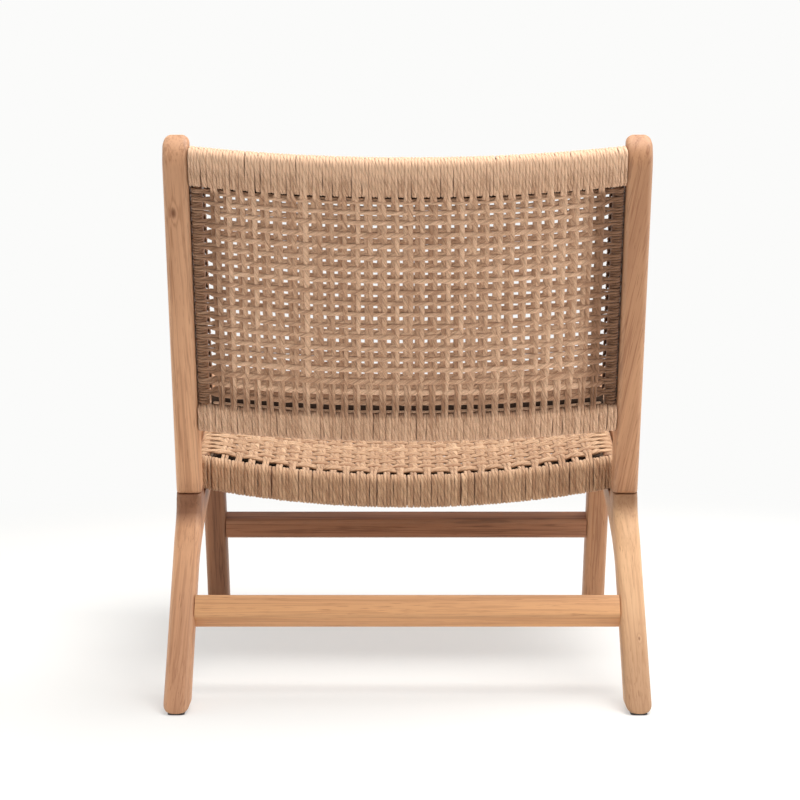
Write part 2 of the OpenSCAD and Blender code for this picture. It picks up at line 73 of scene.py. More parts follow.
# The two woven panels. Each has its own axes: x across, y the way it bows, z along it.
# The back stands up the lean of the posts; the seat lies along the side rails.
backPanel = {
    "name": "back",
    "origin": (0, 74.5 * mm, 0),
    "turn": -17.7,
    "halfSpan": 290.5 * mm,
    "bowLow": 36 * mm,
    "bowHigh": 50 * mm,
    "mid": -15.5 * mm,
    "thick": 31 * mm,
    "low": 373 * mm,
    "lowRail": 43.5 * mm,
    "high": 784 * mm,
    "highRail": 52.5 * mm,
    "slatX": 279.5 * mm,
    "slatWide": 20 * mm,
    "slatMid": -15.5 * mm,
    "slatThick": 31 * mm,
    "face": 1,
    "fieldDepth": 7 * mm,
    "columns": 31,
    "columnPitch": 17.1 * mm,
    "rows": 19,
    "rowShares": [0.6, 0.85],      # the last rows under the top rail are narrower
    "lowRows": {0: 0.16, 1: 0.2, 2: 0.22, 3: 0.08},     # and the first ones thicker
    "firstGap": 18.8 * mm,
    "lastGap": 4.6 * mm,
    "cord": 4.3 * mm,
    "fieldCord": 7.6 * mm,
    "fieldFlat": 0.52,
    "warpWave": 0.7 * mm,
    "weftWave": 0.5 * mm,
    "warpLift": 0.5 * mm,          # one cord of a pair lies in front, the other behind
    "weftLift": 1.1 * mm,
    "warpTouch": 0.78,             # distance between the two cords of a pair, in diameters
    "weftTouch": 0.72,
    "ease": 9 * mm,
    "lining": [1.7 * mm],
    "pairPaintedShade": (-0.02, 0.32),     # painted shade of the cord in front and the one behind
    # Painted shade by the slats, and how far it reaches into the field
    "slatPaintedShade": (0.85, 1.55),
    "paintedShadeReach": 40 * mm,
    "lowRowPaintedShade": 0.5,               # painted shade of the first rows
    "plainEnd": 1,                 # there the long cords all lie at the rear
    # Painted light and shade of the rail cords: the top rail paler, darker next to the field
    "highRailPaintedShade": -1.5,
    "lowRailPaintedShade": -0.12,
    "lipPaintedShade": 0.55,
    # Dark strips of painted shade in the gaps by the rails
    "shadeStrips": [("low", -3 * mm, 15 * mm), ("high", -10 * mm, 3 * mm)],
}
seatPanel = {
    "name": "seat",
    "origin": (0, 0, 335.5 * mm),
    "turn": -101.7,
    "halfSpan": 305 * mm,
    "bowLow": 32 * mm,
    "bowHigh": 32 * mm,
    "mid": 29.5 * mm,
    "thick": 50 * mm,
    "low": -319 * mm,
    "lowRail": 24 * mm,
    "high": 101 * mm,
    "highRail": 24 * mm,
    "slatX": 292 * mm,
    "slatWide": 24 * mm,
    "slatMid": 23.5 * mm,
    "slatThick": 34 * mm,
    "face": -1,
    "fieldDepth": 2.8 * mm,
    "columns": 28,
    "columnPitch": 19.5 * mm,
    "rows": 21,
    "rowShares": [],
    "lowRows": {},
    "firstGap": 13.5 * mm,
    "lastGap": 13 * mm,
    "cord": 4.6 * mm,
    "fieldCord": 8.3 * mm,
    "fieldFlat": 0.52,
    "warpWave": 1.35 * mm,
    "weftWave": 0.9 * mm,
    "warpLift": 0,
    "weftLift": 0,
    "warpTouch": 0.72,
    "weftTouch": 0.80,
    "ease": 150 * mm,
    "lining": [],
    # Painted shade of the seat's cords; below zero it paints them paler
    "pairPaintedShade": (0.18, 0.34),
    "slatPaintedShade": (-0.35, -0.25),
    "paintedShadeReach": 24 * mm,
    "lowRowPaintedShade": 0,
    "plainEnd": 0,
    "highRailPaintedShade": 0.14,
    "lowRailPaintedShade": 0,
    "lipPaintedShade": 0,
    # Dark strips of painted shade in the gaps by the rails
    "shadeStrips": [("low", -3 * mm, 18 * mm), ("high", -46 * mm, 3 * mm)],
}
cordPlan = {
    "sides": 8,
    "wrapStep": 3.8 * mm,
    "fieldStep": 2.9 * mm,
    "lay": 36 * mm,           # length of one twist of the two plies
    "plyDepth": 0.12,
    "flat": 0.90,             # a cord under tension is a little lower than wide
    "wrapFlat": 0.74,
    "wrapGrow": 1.2,          # the turns on a rail press against each other
    "sideWander": 0.40 * mm,
    "heightWander": 0.16 * mm,
    "thickWander": 0.07,
    "wrapGap": 0.3 * mm,
    "cornerBend": 8.0 * mm,
    "slatBend": 6.4 * mm,
    "easeIn": 9 * mm,         # where a cord passes from a rail or slat into the field
    "heightSpan": 25 * mm,    # lengths over which a cord wanders and swells
    "sideSpan": 38 * mm,
    "swellSpan": 30 * mm,
    "fieldSway": 0.6,         # sideways wander in the field, as a share of a turn's
    "endSwell": 0.35,         # a cord's tucked ends are thin
    "turnSpread": 0.3 * mm,   # how unevenly the turns and pairs lie
    "turnSlant": 0.5 * mm,
    "pairShift": 0.6 * mm,
    "warpSpread": 0.06,       # how unevenly thick the pairs are
    "weftSpread": 0.05,
    "touchSpread": 0.05,
    "growSpread": 0.05,
    "slatSunk": 1.3 * mm,     # the turns on a slat lie closer to its core than the CAD's sleeve
    "slatOut": 0.8 * mm,
    # Painted shade of the turns on a slat
    "slatTurnPaintedShade": 0.3,
    "plainDepth": 2.4 * mm,   # how far the long cords lie behind the lowest rows
    "fieldPoints": 70,
}


def panelMatrix(panel):
    return (Matrix.Translation(panel["origin"])
            @ Matrix.Rotation(math.radians(panel["turn"]), 4, "X"))


# Depth of a point that lies out from the middle of the bowed panel
def bowedDepth(panel, x, out, z):
    lowTop = panel["low"] + panel["lowRail"]
    highFoot = panel["high"] - panel["highRail"]
    share = np.clip((z - lowTop) / (highFoot - lowTop), 0, 1)
    bow = panel["bowLow"] + (panel["bowHigh"] - panel["bowLow"]) * share
    radius = (panel["halfSpan"] ** 2 + bow ** 2) / (2 * bow)
    return panel["mid"] + bow - radius + np.sqrt((radius + out) ** 2 - x ** 2)


# Middles of the cross pairs, and how wide each row is against a full one
def rowPlaces(panel):
    shares = np.ones(panel["rows"])
    for k, share in enumerate(panel["rowShares"]):
        shares[-1 - k] = share
    places = np.concatenate([[0], np.cumsum((shares[:-1] + shares[1:]) / 2)])
    low = panel["low"] + panel["lowRail"] + panel["firstGap"]
    high = panel["high"] - panel["highRail"] - panel["lastGap"]
    return low + (high - low) * places / places[-1], shares


# Depth of the field's middle surface; it comes up to the slats at its sides
def fieldSurface(panel, x, z, out):
    middle = panel["face"] * (panel["thick"] / 2 - panel["fieldDepth"])
    slatLevel = panel["slatMid"] + panel["face"] * (panel["slatThick"] - panel["cord"]) / 2
    inner = panel["slatX"] - panel["slatWide"] / 2
    share = smooth((inner + 2 * mm - np.abs(x)) / panel["ease"])
    atSlat = bowedDepth(panel, inner, middle + out, z)
    within = bowedDepth(panel, np.minimum(np.abs(x), inner), middle + out, z)
    return within + (slatLevel + out - atSlat) * (1 - share)


def columnPlaces(panel):
    count = panel["columns"]
    return (np.arange(count) - (count - 1) / 2) * panel["columnPitch"]


# A line cut into even steps
def resample(points, step):
    lengths = np.linalg.norm(np.diff(points, axis=0), axis=1)
    along = np.concatenate([[0], np.cumsum(lengths)])
    count = max(4, int(round(along[-1] / step)) + 1)
    places = np.linspace(0, along[-1], count)
    return np.stack([np.interp(places, along, points[:, k]) for k in range(3)], axis=1), places


# Slow random drift along a cord, and the same for a closed turn
def drift(places, span, amount):
    knots = np.arange(places[0] - span, places[-1] + 2 * span, span)
    values = rng.normal(0, amount, len(knots))
    t = (1 - np.cos(np.pi * ((places - knots[0]) / span % 1))) / 2
    k = ((places - knots[0]) / span).astype(int)
    return values[k] * (1 - t) + values[k + 1] * t


def closedDrift(count, amount):
    turn = np.linspace(0, 2 * np.pi, count, endpoint=False)
    first, second, third = rng.uniform(0, 2 * np.pi, 3)
    mix = 0.7 * np.sin(turn + first) + 0.5 * np.sin(2 * turn + second) + 0.35 * np.sin(3 * turn + third)
    return amount * mix


def boxCorner(centre, bend, start, count=5):
    turn = np.radians(np.linspace(start, start + 90, count))
    return np.stack([centre[0] + bend * np.cos(turn), centre[1] + bend * np.sin(turn)], axis=1)


# A closed turn round a box, as pairs (outward, along), starting on the inner side
def boxTurn(halfOut, halfAlong, bend):
    bend = min(bend, halfOut * 0.95, halfAlong * 0.95)
    a, b = halfOut - bend, halfAlong - bend
    corners = [boxCorner((a, b), bend, 0), boxCorner((-a, b), bend, 90),
               boxCorner((-a, -b), bend, 180), boxCorner((a, -b), bend, 270)]
    return np.concatenate(corners)


# All the cords of one piece
class CordMesh:
    def __init__(self, name, sideAxis, diameter):
        self.name = name
        self.side = np.array(sideAxis, float)
        self.radius = diameter / 2
        self.points = []
        self.weave = []
        self.tones = []
        self.paintedShades = []
        self.faces = []
        self.total = 0

    # One cord swept along its route; a closed route joins its own start
    def add(self, route, places, closed=False, tone=None, grow=1.0, flat=None, paintedShade=0):
        sides = cordPlan["sides"]
        count = len(route)
        flat = cordPlan["flat"] if flat is None else flat[:, None]
        if closed:
            tangent = np.roll(route, -1, axis=0) - np.roll(route, 1, axis=0)
        else:
            tangent = np.gradient(route, axis=0)
        tangent /= np.linalg.norm(tangent, axis=1)[:, None]
        across = self.side - tangent * (tangent @ self.side)[:, None]
        across /= np.linalg.norm(across, axis=1)[:, None]
        up = np.cross(tangent, across)
        angle = np.arange(sides) * 2 * np.pi / sides
        if closed:
            turns = max(1, round(places[-1] / cordPlan["lay"]))
            ply = 2 * np.pi * turns * np.arange(count) / count
            swell = 1 + closedDrift(count, cordPlan["thickWander"] * 0.6)
        else:
            ply = 2 * np.pi * places / cordPlan["lay"]
            swell = 1 + drift(places, cordPlan["swellSpan"], cordPlan["thickWander"] * 0.6)
            swell[0] = swell[-1] = cordPlan["endSwell"]
        swell = swell * grow * (1 + rng.normal(0, cordPlan["thickWander"] * 0.5))
        start = rng.uniform(0, 2 * np.pi)
        plyAngle = angle[None, :] + ply[:, None] + start
        lobes = 1 - cordPlan["plyDepth"] * (1 - np.abs(np.sin(plyAngle)))
        reach = self.radius * swell[:, None] * lobes
        ring = (route[:, None, :]
                + (reach * np.cos(angle))[:, :, None] * across[:, None, :]
                + (reach * np.sin(angle) * flat)[:, :, None] * up[:, None, :])
        self.points.append(ring.reshape(-1, 3))
        along = np.repeat(places[:, None], sides, axis=1)
        self.weave.append(np.stack([np.cos(plyAngle), np.sin(plyAngle), along], axis=2).reshape(-1, 3))
        if tone is None:
            tone = rng.uniform(0, 1)
        self.tones.append(np.full(count * sides, tone))
        # Painted shade along the cord, kept for the material
        self.paintedShades.append(np.repeat(np.zeros(count) + paintedShade, sides))
        rows = np.arange(count if closed else count - 1)[:, None] * sides
        here = np.arange(sides)[None, :]
        nextSide = (here + 1) % sides
        ahead = (rows + sides) % (count * sides)
        quads = np.stack([rows + here, rows + nextSide, ahead + nextSide, ahead + here], axis=2)
        quads = quads.reshape(-1, 4)
        if not closed:
            first = np.array([[3, 2, 1, 0], [7, 4, 3, 0], [7, 6, 5, 4]])
            last = (count - 1) * sides + np.array([[0, 1, 2, 3], [0, 3, 4, 7], [4, 5, 6, 7]])
            quads = np.concatenate([quads, first, last])
        self.faces.append(quads + self.total)
        self.total += count * sides

    def build(self, panel, material):
        points = np.concatenate(self.points)
        quads = np.concatenate(self.faces)
        toWorld = np.array(panelMatrix(panel))
        points = points @ toWorld[:3, :3].T + toWorld[:3, 3]
        mesh = bpy.data.meshes.new(self.name)
        mesh.vertices.add(len(points))
        mesh.vertices.foreach_set("co", points.astype(np.float32).ravel())
        mesh.loops.add(len(quads) * 4)
        mesh.loops.foreach_set("vertex_index", quads.astype(np.int32).ravel())
        mesh.polygons.add(len(quads))
        mesh.polygons.foreach_set("loop_start", np.arange(len(quads), dtype=np.int32) * 4)
        mesh.update(calc_edges=True)
        mesh.shade_smooth()
        weave = mesh.attributes.new("cordWeave", "FLOAT_VECTOR", "POINT")
        weave.data.foreach_set("vector", np.concatenate(self.weave).astype(np.float32).ravel())
        for attribute, values in (("cordTone", self.tones), ("cordPaintedShade", self.paintedShades)):
            layer = mesh.attributes.new(attribute, "FLOAT", "POINT")
            layer.data.foreach_set("value", np.concatenate(values).astype(np.float32))
        mesh.materials.append(material)
        piece = bpy.data.objects.new(self.name, mesh)
        bpy.context.scene.collection.objects.link(piece)
        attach(piece, "root")
        print(self.name, "faces:", len(quads))
        return piece


# Places along a rail that no paired cord takes, one turn a cord apart
def freePlaces(pairPlaces, cord, low, high):
    pitch = pairPlaces[1] - pairPlaces[0]
    spacing = pitch / max(2, round(pitch / cord))
    starts = np.concatenate([[low], pairPlaces + spacing])
    ends = np.concatenate([pairPlaces - spacing, [high]])
    places = []
    for start, end in zip(starts, ends):
        count = int(round((end - start) / spacing))
        places += [start + (end - start) * (k + 0.5) / count for k in range(count)]
    return np.array(places)


def smooth(t):
    t = np.clip(t, 0, 1)
    return t * t * (3 - 2 * t)


# The cords of a rail are painted paler, with painted shade next to the field
def railPaintedShade(panel, z):
    lowTop = panel["low"] + panel["lowRail"]
    highFoot = panel["high"] - panel["highRail"]
    lip = panel["lipPaintedShade"]
    top = panel["highRailPaintedShade"] + 2.5 * lip * smooth((panel["high"] - 8 * mm - z) / (24 * mm))
    low = panel["lowRailPaintedShade"] + 1.6 * lip * smooth((z - lowTop + 7 * mm) / (7 * mm))
    top = top * smooth((z - highFoot + 2 * mm) / (6 * mm))
    return top + low * smooth((lowTop + 2 * mm - z) / (6 * mm))


def closedRoute(turn, step):
    flat = np.column_stack([np.zeros(len(turn)), turn])
    route, along = resample(np.vstack([flat, flat[:1]]), step)
    return route[:-1], along[:-1]


def railTurns(name, panel, low, high, material):
    cord = panel["cord"]
    reach = panel["halfSpan"] - cordPlan["wrapGap"]
    places = freePlaces(columnPlaces(panel), cord, -reach, reach)
    turn = boxTurn(panel["thick"] / 2 - cord / 2, (high - low) / 2 - cord / 2, cordPlan["cornerBend"])
    cords = CordMesh(name, (1, 0, 0), cord)
    for place in places:
        place += rng.normal(0, cordPlan["turnSpread"]) if abs(place) < reach - 2 * cord else 0
        route, along = closedRoute(turn, cordPlan["wrapStep"])
        slant = rng.normal(0, cordPlan["turnSlant"])
        x = place + closedDrift(len(route), cordPlan["sideWander"]) + slant * np.sin(
            np.linspace(0, 2 * np.pi, len(route), endpoint=False))
        out = route[:, 1] + closedDrift(len(route), cordPlan["heightWander"])
        z = (low + high) / 2 + route[:, 2]
        y = bowedDepth(panel, x, out, z)
        grow = cordPlan["wrapGrow"] + rng.normal(0, cordPlan["growSpread"])
        flat = np.full(len(route), cordPlan["wrapFlat"])
        cords.add(np.stack([x, y, z], axis=1), along, closed=True, grow=grow, flat=flat,
                  paintedShade=railPaintedShade(panel, z))
    return cords.build(panel, material)


def slatTurns(name, panel, side, material):
    cord = panel["cord"]
    low = panel["low"] + panel["lowRail"] + cordPlan["wrapGap"]
    high = panel["high"] - panel["highRail"] - cordPlan["wrapGap"]
    places = freePlaces(rowPlaces(panel)[0], cord, low, high)
    # Painted shade of the turns on each slat, darker on one side
    paintedShade = panel["slatPaintedShade"][0 if side > 0 else 1]
    sunk = cordPlan["slatSunk"]
    turn = boxTurn(panel["slatThick"] / 2 - cord / 2 - sunk, panel["slatWide"] / 2 - cord / 2 - sunk,
                   cordPlan["slatBend"])
    cords = CordMesh(name, (0, 0, 1), cord)
    for place in places:
        route, along = closedRoute(turn, cordPlan["wrapStep"] * 0.8)
        z = place + closedDrift(len(route), cordPlan["sideWander"])
        y = panel["slatMid"] + route[:, 1] + closedDrift(len(route), cordPlan["heightWander"])
        x = side * (panel["slatX"] + sunk + cordPlan["slatOut"] - route[:, 2])
        cords.add(np.stack([x, y, z], axis=1), along, closed=True,
                  paintedShade=paintedShade + cordPlan["slatTurnPaintedShade"])
    return cords.build(panel, material)


# Over and under, held flat where two pairs cross
def wave(phase):
    return np.clip(1.35 * np.cos(phase), -1, 1)


# Painted shade: the cords darken towards the slats and in the lowest rows
def edgePaintedShade(panel, x, z, rows):
    inner = panel["slatX"] - panel["slatWide"] / 2
    reach = panel["paintedShadeReach"]
    beside = np.where(x > 0, *panel["slatPaintedShade"]) * smooth((np.abs(x) - inner + reach) / reach)
    span = 1.5 * (rows[1] - rows[0])
    return beside + panel["lowRowPaintedShade"] * smooth((rows[1] - z) / span)


# The way of a cord round a rail or slat, from behind it to its face, as (outward, along)
def endBend(halfOut, halfAlong, bend, stop):
    a, b = halfOut - bend, halfAlong - bend
    bent = [(-halfOut * 0.2, halfAlong), (-a, halfAlong)]
    for centre, start, skip in (((-a, b), 90, 1), ((-a, -b), 180, 0), ((a, -b), 270, 0)):
        bent += [tuple(p) for p in boxCorner(centre, bend, start)[skip:]]
    return np.array(bent + [(halfOut, halfAlong - stop)])


# Long cords of the panel: round one rail, through the field, round the other
def warpCords(panel, material):
    cord = panel["cord"]
    face = panel["face"]
    rows = rowPlaces(panel)[0]
    halfOut = panel["thick"] / 2 - cord / 2
    easeIn = cordPlan["easeIn"]
    cords = CordMesh(panel["name"] + "WarpCords", (1, 0, 0), cord)
    lowTop = panel["low"] + panel["lowRail"]
    highFoot = panel["high"] - panel["highRail"]
    for i, column in enumerate(columnPlaces(panel)):
        thicker = 1 + rng.normal(0, cordPlan["warpSpread"])
        shift = rng.normal(0, cordPlan["pairShift"])
        pairTouch = panel["warpTouch"] + rng.normal(0, cordPlan["touchSpread"])
        for hand in (-1, 1):
            ends = []
            for low, high, sign in ((panel["low"], lowTop, 1), (highFoot, panel["high"], -1)):
                bent = endBend(halfOut, (high - low) / 2 - cord / 2, cordPlan["cornerBend"], 2 * mm)
                ends.append(np.column_stack([np.zeros(len(bent)), bent[:, 0] * face,
                                             (low + high) / 2 + sign * bent[:, 1]]))
            inField = np.linspace(lowTop + 4 * mm, highFoot - 4 * mm, 3)
            middle = np.column_stack([np.zeros(3), np.full(3, face * halfOut), inField])
            flat = np.vstack([ends[0], middle, ends[1][::-1]])
            route, along = resample(flat, cordPlan["fieldStep"])
            z = route[:, 2]
            onFace = route[:, 1] * face > 0
            inside = onFace & (z > lowTop - 3 * mm) & (z < highFoot + 3 * mm)
            blend = smooth((z - lowTop + 3 * mm) / easeIn) * smooth((highFoot + 3 * mm - z) / easeIn)
            blend = np.where(inside, blend, 0)
            phase = np.pi * (np.interp(z, rows, np.arange(len(rows))) + i)
            plain = panel["plainEnd"] * smooth((rows[2] - z) / (rows[1] - rows[0]))
            weave = wave(phase) * panel["warpWave"] * (1 - plain) + cordPlan["plainDepth"] * plain
            weave = face * (weave - hand * panel["warpLift"] * (1 - plain))
            wander = drift(along, cordPlan["heightSpan"], cordPlan["heightWander"])
            wide = smooth((z - rows[0] + easeIn) / easeIn) * smooth((rows[-1] + 6 * mm - z) / (6 * mm))
            wide = wide * blend * (1 - 0.85 * plain)
            grow = cordPlan["wrapGrow"] + (panel["fieldCord"] * thicker / cord - cordPlan["wrapGrow"]) * wide
            touch = panel["fieldCord"] * thicker * pairTouch / 2
            apart = panel["columnPitch"] / 8 * (1 - wide) + touch * wide
            x = column + shift * blend + hand * apart
            x = x + drift(along, cordPlan["sideSpan"], cordPlan["sideWander"]) * cordPlan["fieldSway"]
            y = bowedDepth(panel, x, route[:, 1] + wander, z) * (1 - blend)
            y = y + fieldSurface(panel, x, z, weave + wander) * blend
            flat = cordPlan["wrapFlat"] + (panel["fieldFlat"] - cordPlan["wrapFlat"]) * wide
            # Painted shade: the cord behind in each pair, by the slats, in the first rows and on the rails
            inField = panel["pairPaintedShade"][0 if hand < 0 else 1] + edgePaintedShade(panel, x, z, rows)
            paintedShade = railPaintedShade(panel, z) + inField * blend
            cords.add(np.stack([x, y, z], axis=1), along, grow=grow, flat=flat, paintedShade=paintedShade)
    return cords.build(panel, material)


# Cross cords of the panel: round one slat, through the field, round the other
def weftCords(panel, material):
    cord = panel["cord"]
    face = panel["face"]
    rows, shares = rowPlaces(panel)
    rowPitch = rows[1] - rows[0]
    pitch = panel["columnPitch"]
    halfOut = panel["slatThick"] / 2 - cord / 2
    halfAlong = panel["slatWide"] / 2 - cord / 2
    bend = min(cordPlan["slatBend"], halfAlong * 0.95)
    inner = panel["slatX"] - panel["slatWide"] / 2
    cords = CordMesh(panel["name"] + "WeftCords", (0, 0, 1), cord)
    bent = endBend(halfOut, halfAlong, bend, 1 * mm)
    left = np.column_stack([-panel["slatX"] + bent[:, 1], panel["slatMid"] + face * bent[:, 0],
                            np.zeros(len(bent))])
    right = left * np.array([-1, 1, 1])
    xs = np.linspace(-inner + 1 * mm, inner - 1 * mm, cordPlan["fieldPoints"])
    for j, (row, rowShare) in enumerate(zip(rows, shares)):
        thicker = (1 + rng.normal(0, cordPlan["weftSpread"]) + panel["lowRows"].get(j, 0)) * rowShare
        shift = rng.normal(0, cordPlan["pairShift"]) * rowShare
        pairTouch = panel["weftTouch"] + rng.normal(0, cordPlan["touchSpread"])
        for hand in (-1, 1):
            middle = np.column_stack([xs, fieldSurface(panel, xs, row, 0), np.zeros(len(xs))])
            route, along = resample(np.vstack([left, middle, right[::-1]]), cordPlan["fieldStep"])
            x = route[:, 0]
            blend = smooth((inner + 2 * mm - np.abs(x)) / cordPlan["easeIn"])
            weave = wave(np.pi * ((x - columnPlaces(panel)[0]) / pitch + j)) * panel["weftWave"]
            weave = -face * (weave + hand * panel["weftLift"])
            y = route[:, 1] + weave * blend
            y = y + drift(along, cordPlan["heightSpan"], cordPlan["heightWander"])
            grow = 1 + (panel["fieldCord"] * thicker / cord - 1) * blend
            touch = panel["fieldCord"] * thicker * pairTouch / 2
            z = row + shift * blend + hand * (rowPitch / 8 * rowShare * (1 - blend) + touch * blend)
            z = z + drift(along, cordPlan["sideSpan"], cordPlan["sideWander"]) * cordPlan["fieldSway"]
            flat = cordPlan["flat"] + (panel["fieldFlat"] - cordPlan["flat"]) * blend
            # Painted shade: the cord behind in each pair, by the slats and in the first rows
            paintedShade = edgePaintedShade(panel, x, z, rows) + panel["pairPaintedShade"][0 if hand < 0 else 1] * blend
            cords.add(np.stack([x, y, z], axis=1), along, grow=grow, flat=flat, paintedShade=paintedShade)
    # A single cord between the first row and the rail
    for above in panel["lining"]:
        z = panel["low"] + panel["lowRail"] + above
        flat = np.column_stack([xs, fieldSurface(panel, xs, z, -face * 2.6 * mm), np.full(len(xs), z)])
        route, along = resample(flat, cordPlan["fieldStep"])
        route[:, 2] += drift(along, 60 * mm, 0.4 * mm)
        cords.add(route, along, paintedShade=-0.2)
    return cords.build(panel, material)


# Narrow dark strips of painted shade behind the first and last cross cords, where the panel shows dark gaps
def makeShadeStrips(panel, material):
    points, faces = [], []
    face = panel["face"]
    reach = panel["slatX"] - panel["slatWide"] / 2 + 2 * mm
    out = face * (panel["thick"] / 2 - panel["fieldDepth"] - panel["fieldCord"] * 0.75)
    xs = np.linspace(-reach, reach, 61)
    for end, near, far in panel["shadeStrips"]:
        edge = panel["low"] + panel["lowRail"] if end == "low" else panel["high"] - panel["highRail"]
        start = len(points)
        for x in xs:
            for z, lift in ((edge + near, 0.6), (edge + far, 0.6), (edge + far, -0.6), (edge + near, -0.6)):
                y = bowedDepth(panel, x, out + lift * mm, z)
                points.append((x, y, z))
        for k in range(len(xs) - 1):
            for c in range(4):
                a, b = start + k * 4 + c, start + k * 4 + (c + 1) % 4
                faces.append((a, b, b + 4, a + 4))
        faces.append((start + 3, start + 2, start + 1, start))
        last = start + (len(xs) - 1) * 4
        faces.append((last, last + 1, last + 2, last + 3))
    points = np.array(points)
    toWorld = np.array(panelMatrix(panel))
    mesh = bpy.data.meshes.new(panel["name"] + "PaintedShadeStrips")
    mesh.from_pydata([tuple(p) for p in points @ toWorld[:3, :3].T + toWorld[:3, 3]], [], faces)
    mesh.materials.append(material)
    piece = bpy.data.objects.new(panel["name"] + "PaintedShadeStrips", mesh)
    bpy.context.scene.collection.objects.link(piece)
    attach(piece, "root")


# Materials

def nodeTools(tree):
    def node(kind, **values):
        made = tree.nodes.new(kind)
        for key, value in values.items():
            setattr(made, key, value)
        return made

    def link(source, target):
        tree.links.new(source, target)

    def math2(operation, first, second=None, clamp=False):
        made = node("ShaderNodeMath", operation=operation, use_clamp=clamp)
        for socket, value in zip(made.inputs, (first, second)):
            if value is None:
                continue
            if isinstance(value, (int, float)):
                socket.default_value = value
            else:
                link(value, socket)
        return made.outputs[0]

    return node, link, math2


def newGroup(name, inputs, outputs):
    group = bpy.data.node_groups.new(name, "ShaderNodeTree")
    for label, kind, value in inputs:
        socket = group.interface.new_socket(name=label, in_out="INPUT", socket_type=kind)
        if value is not None:
            socket.default_value = value
    for label, kind in outputs:
        group.interface.new_socket(name=label, in_out="OUTPUT", socket_type=kind)
    node, link, math2 = nodeTools(group)
    return group, node("NodeGroupInput"), node("NodeGroupOutput"), node, link, math2


def colourRamp(node, stops):
    ramp = node("ShaderNodeValToRGB")
    elements = ramp.color_ramp.elements
    while len(elements) < len(stops):
        elements.new(0.5)
    for element, (place, colour) in zip(elements, stops):
        element.position = place
        element.color = (*colour, 1)
    return ramp


def noiseFrom(node, link, vector, scale=1.0, **values):
    noise = node("ShaderNodeTexNoise")
    noise.inputs["Scale"].default_value = scale
    for label, value in values.items():
        noise.inputs[label].default_value = value
    link(vector, noise.inputs["Vector"])
    return noise.outputs["Fac"]


def mixColour(node, link, factor, first, second, blend="MIX"):
    mixed = node("ShaderNodeMix", data_type="RGBA", blend_type=blend)
    link(factor, mixed.inputs["Factor"])
    link(first, mixed.inputs["A"])
    if isinstance(second, tuple):
        mixed.inputs["B"].default_value = second
    else:
        link(second, mixed.inputs["B"])
    return mixed.outputs["Result"]


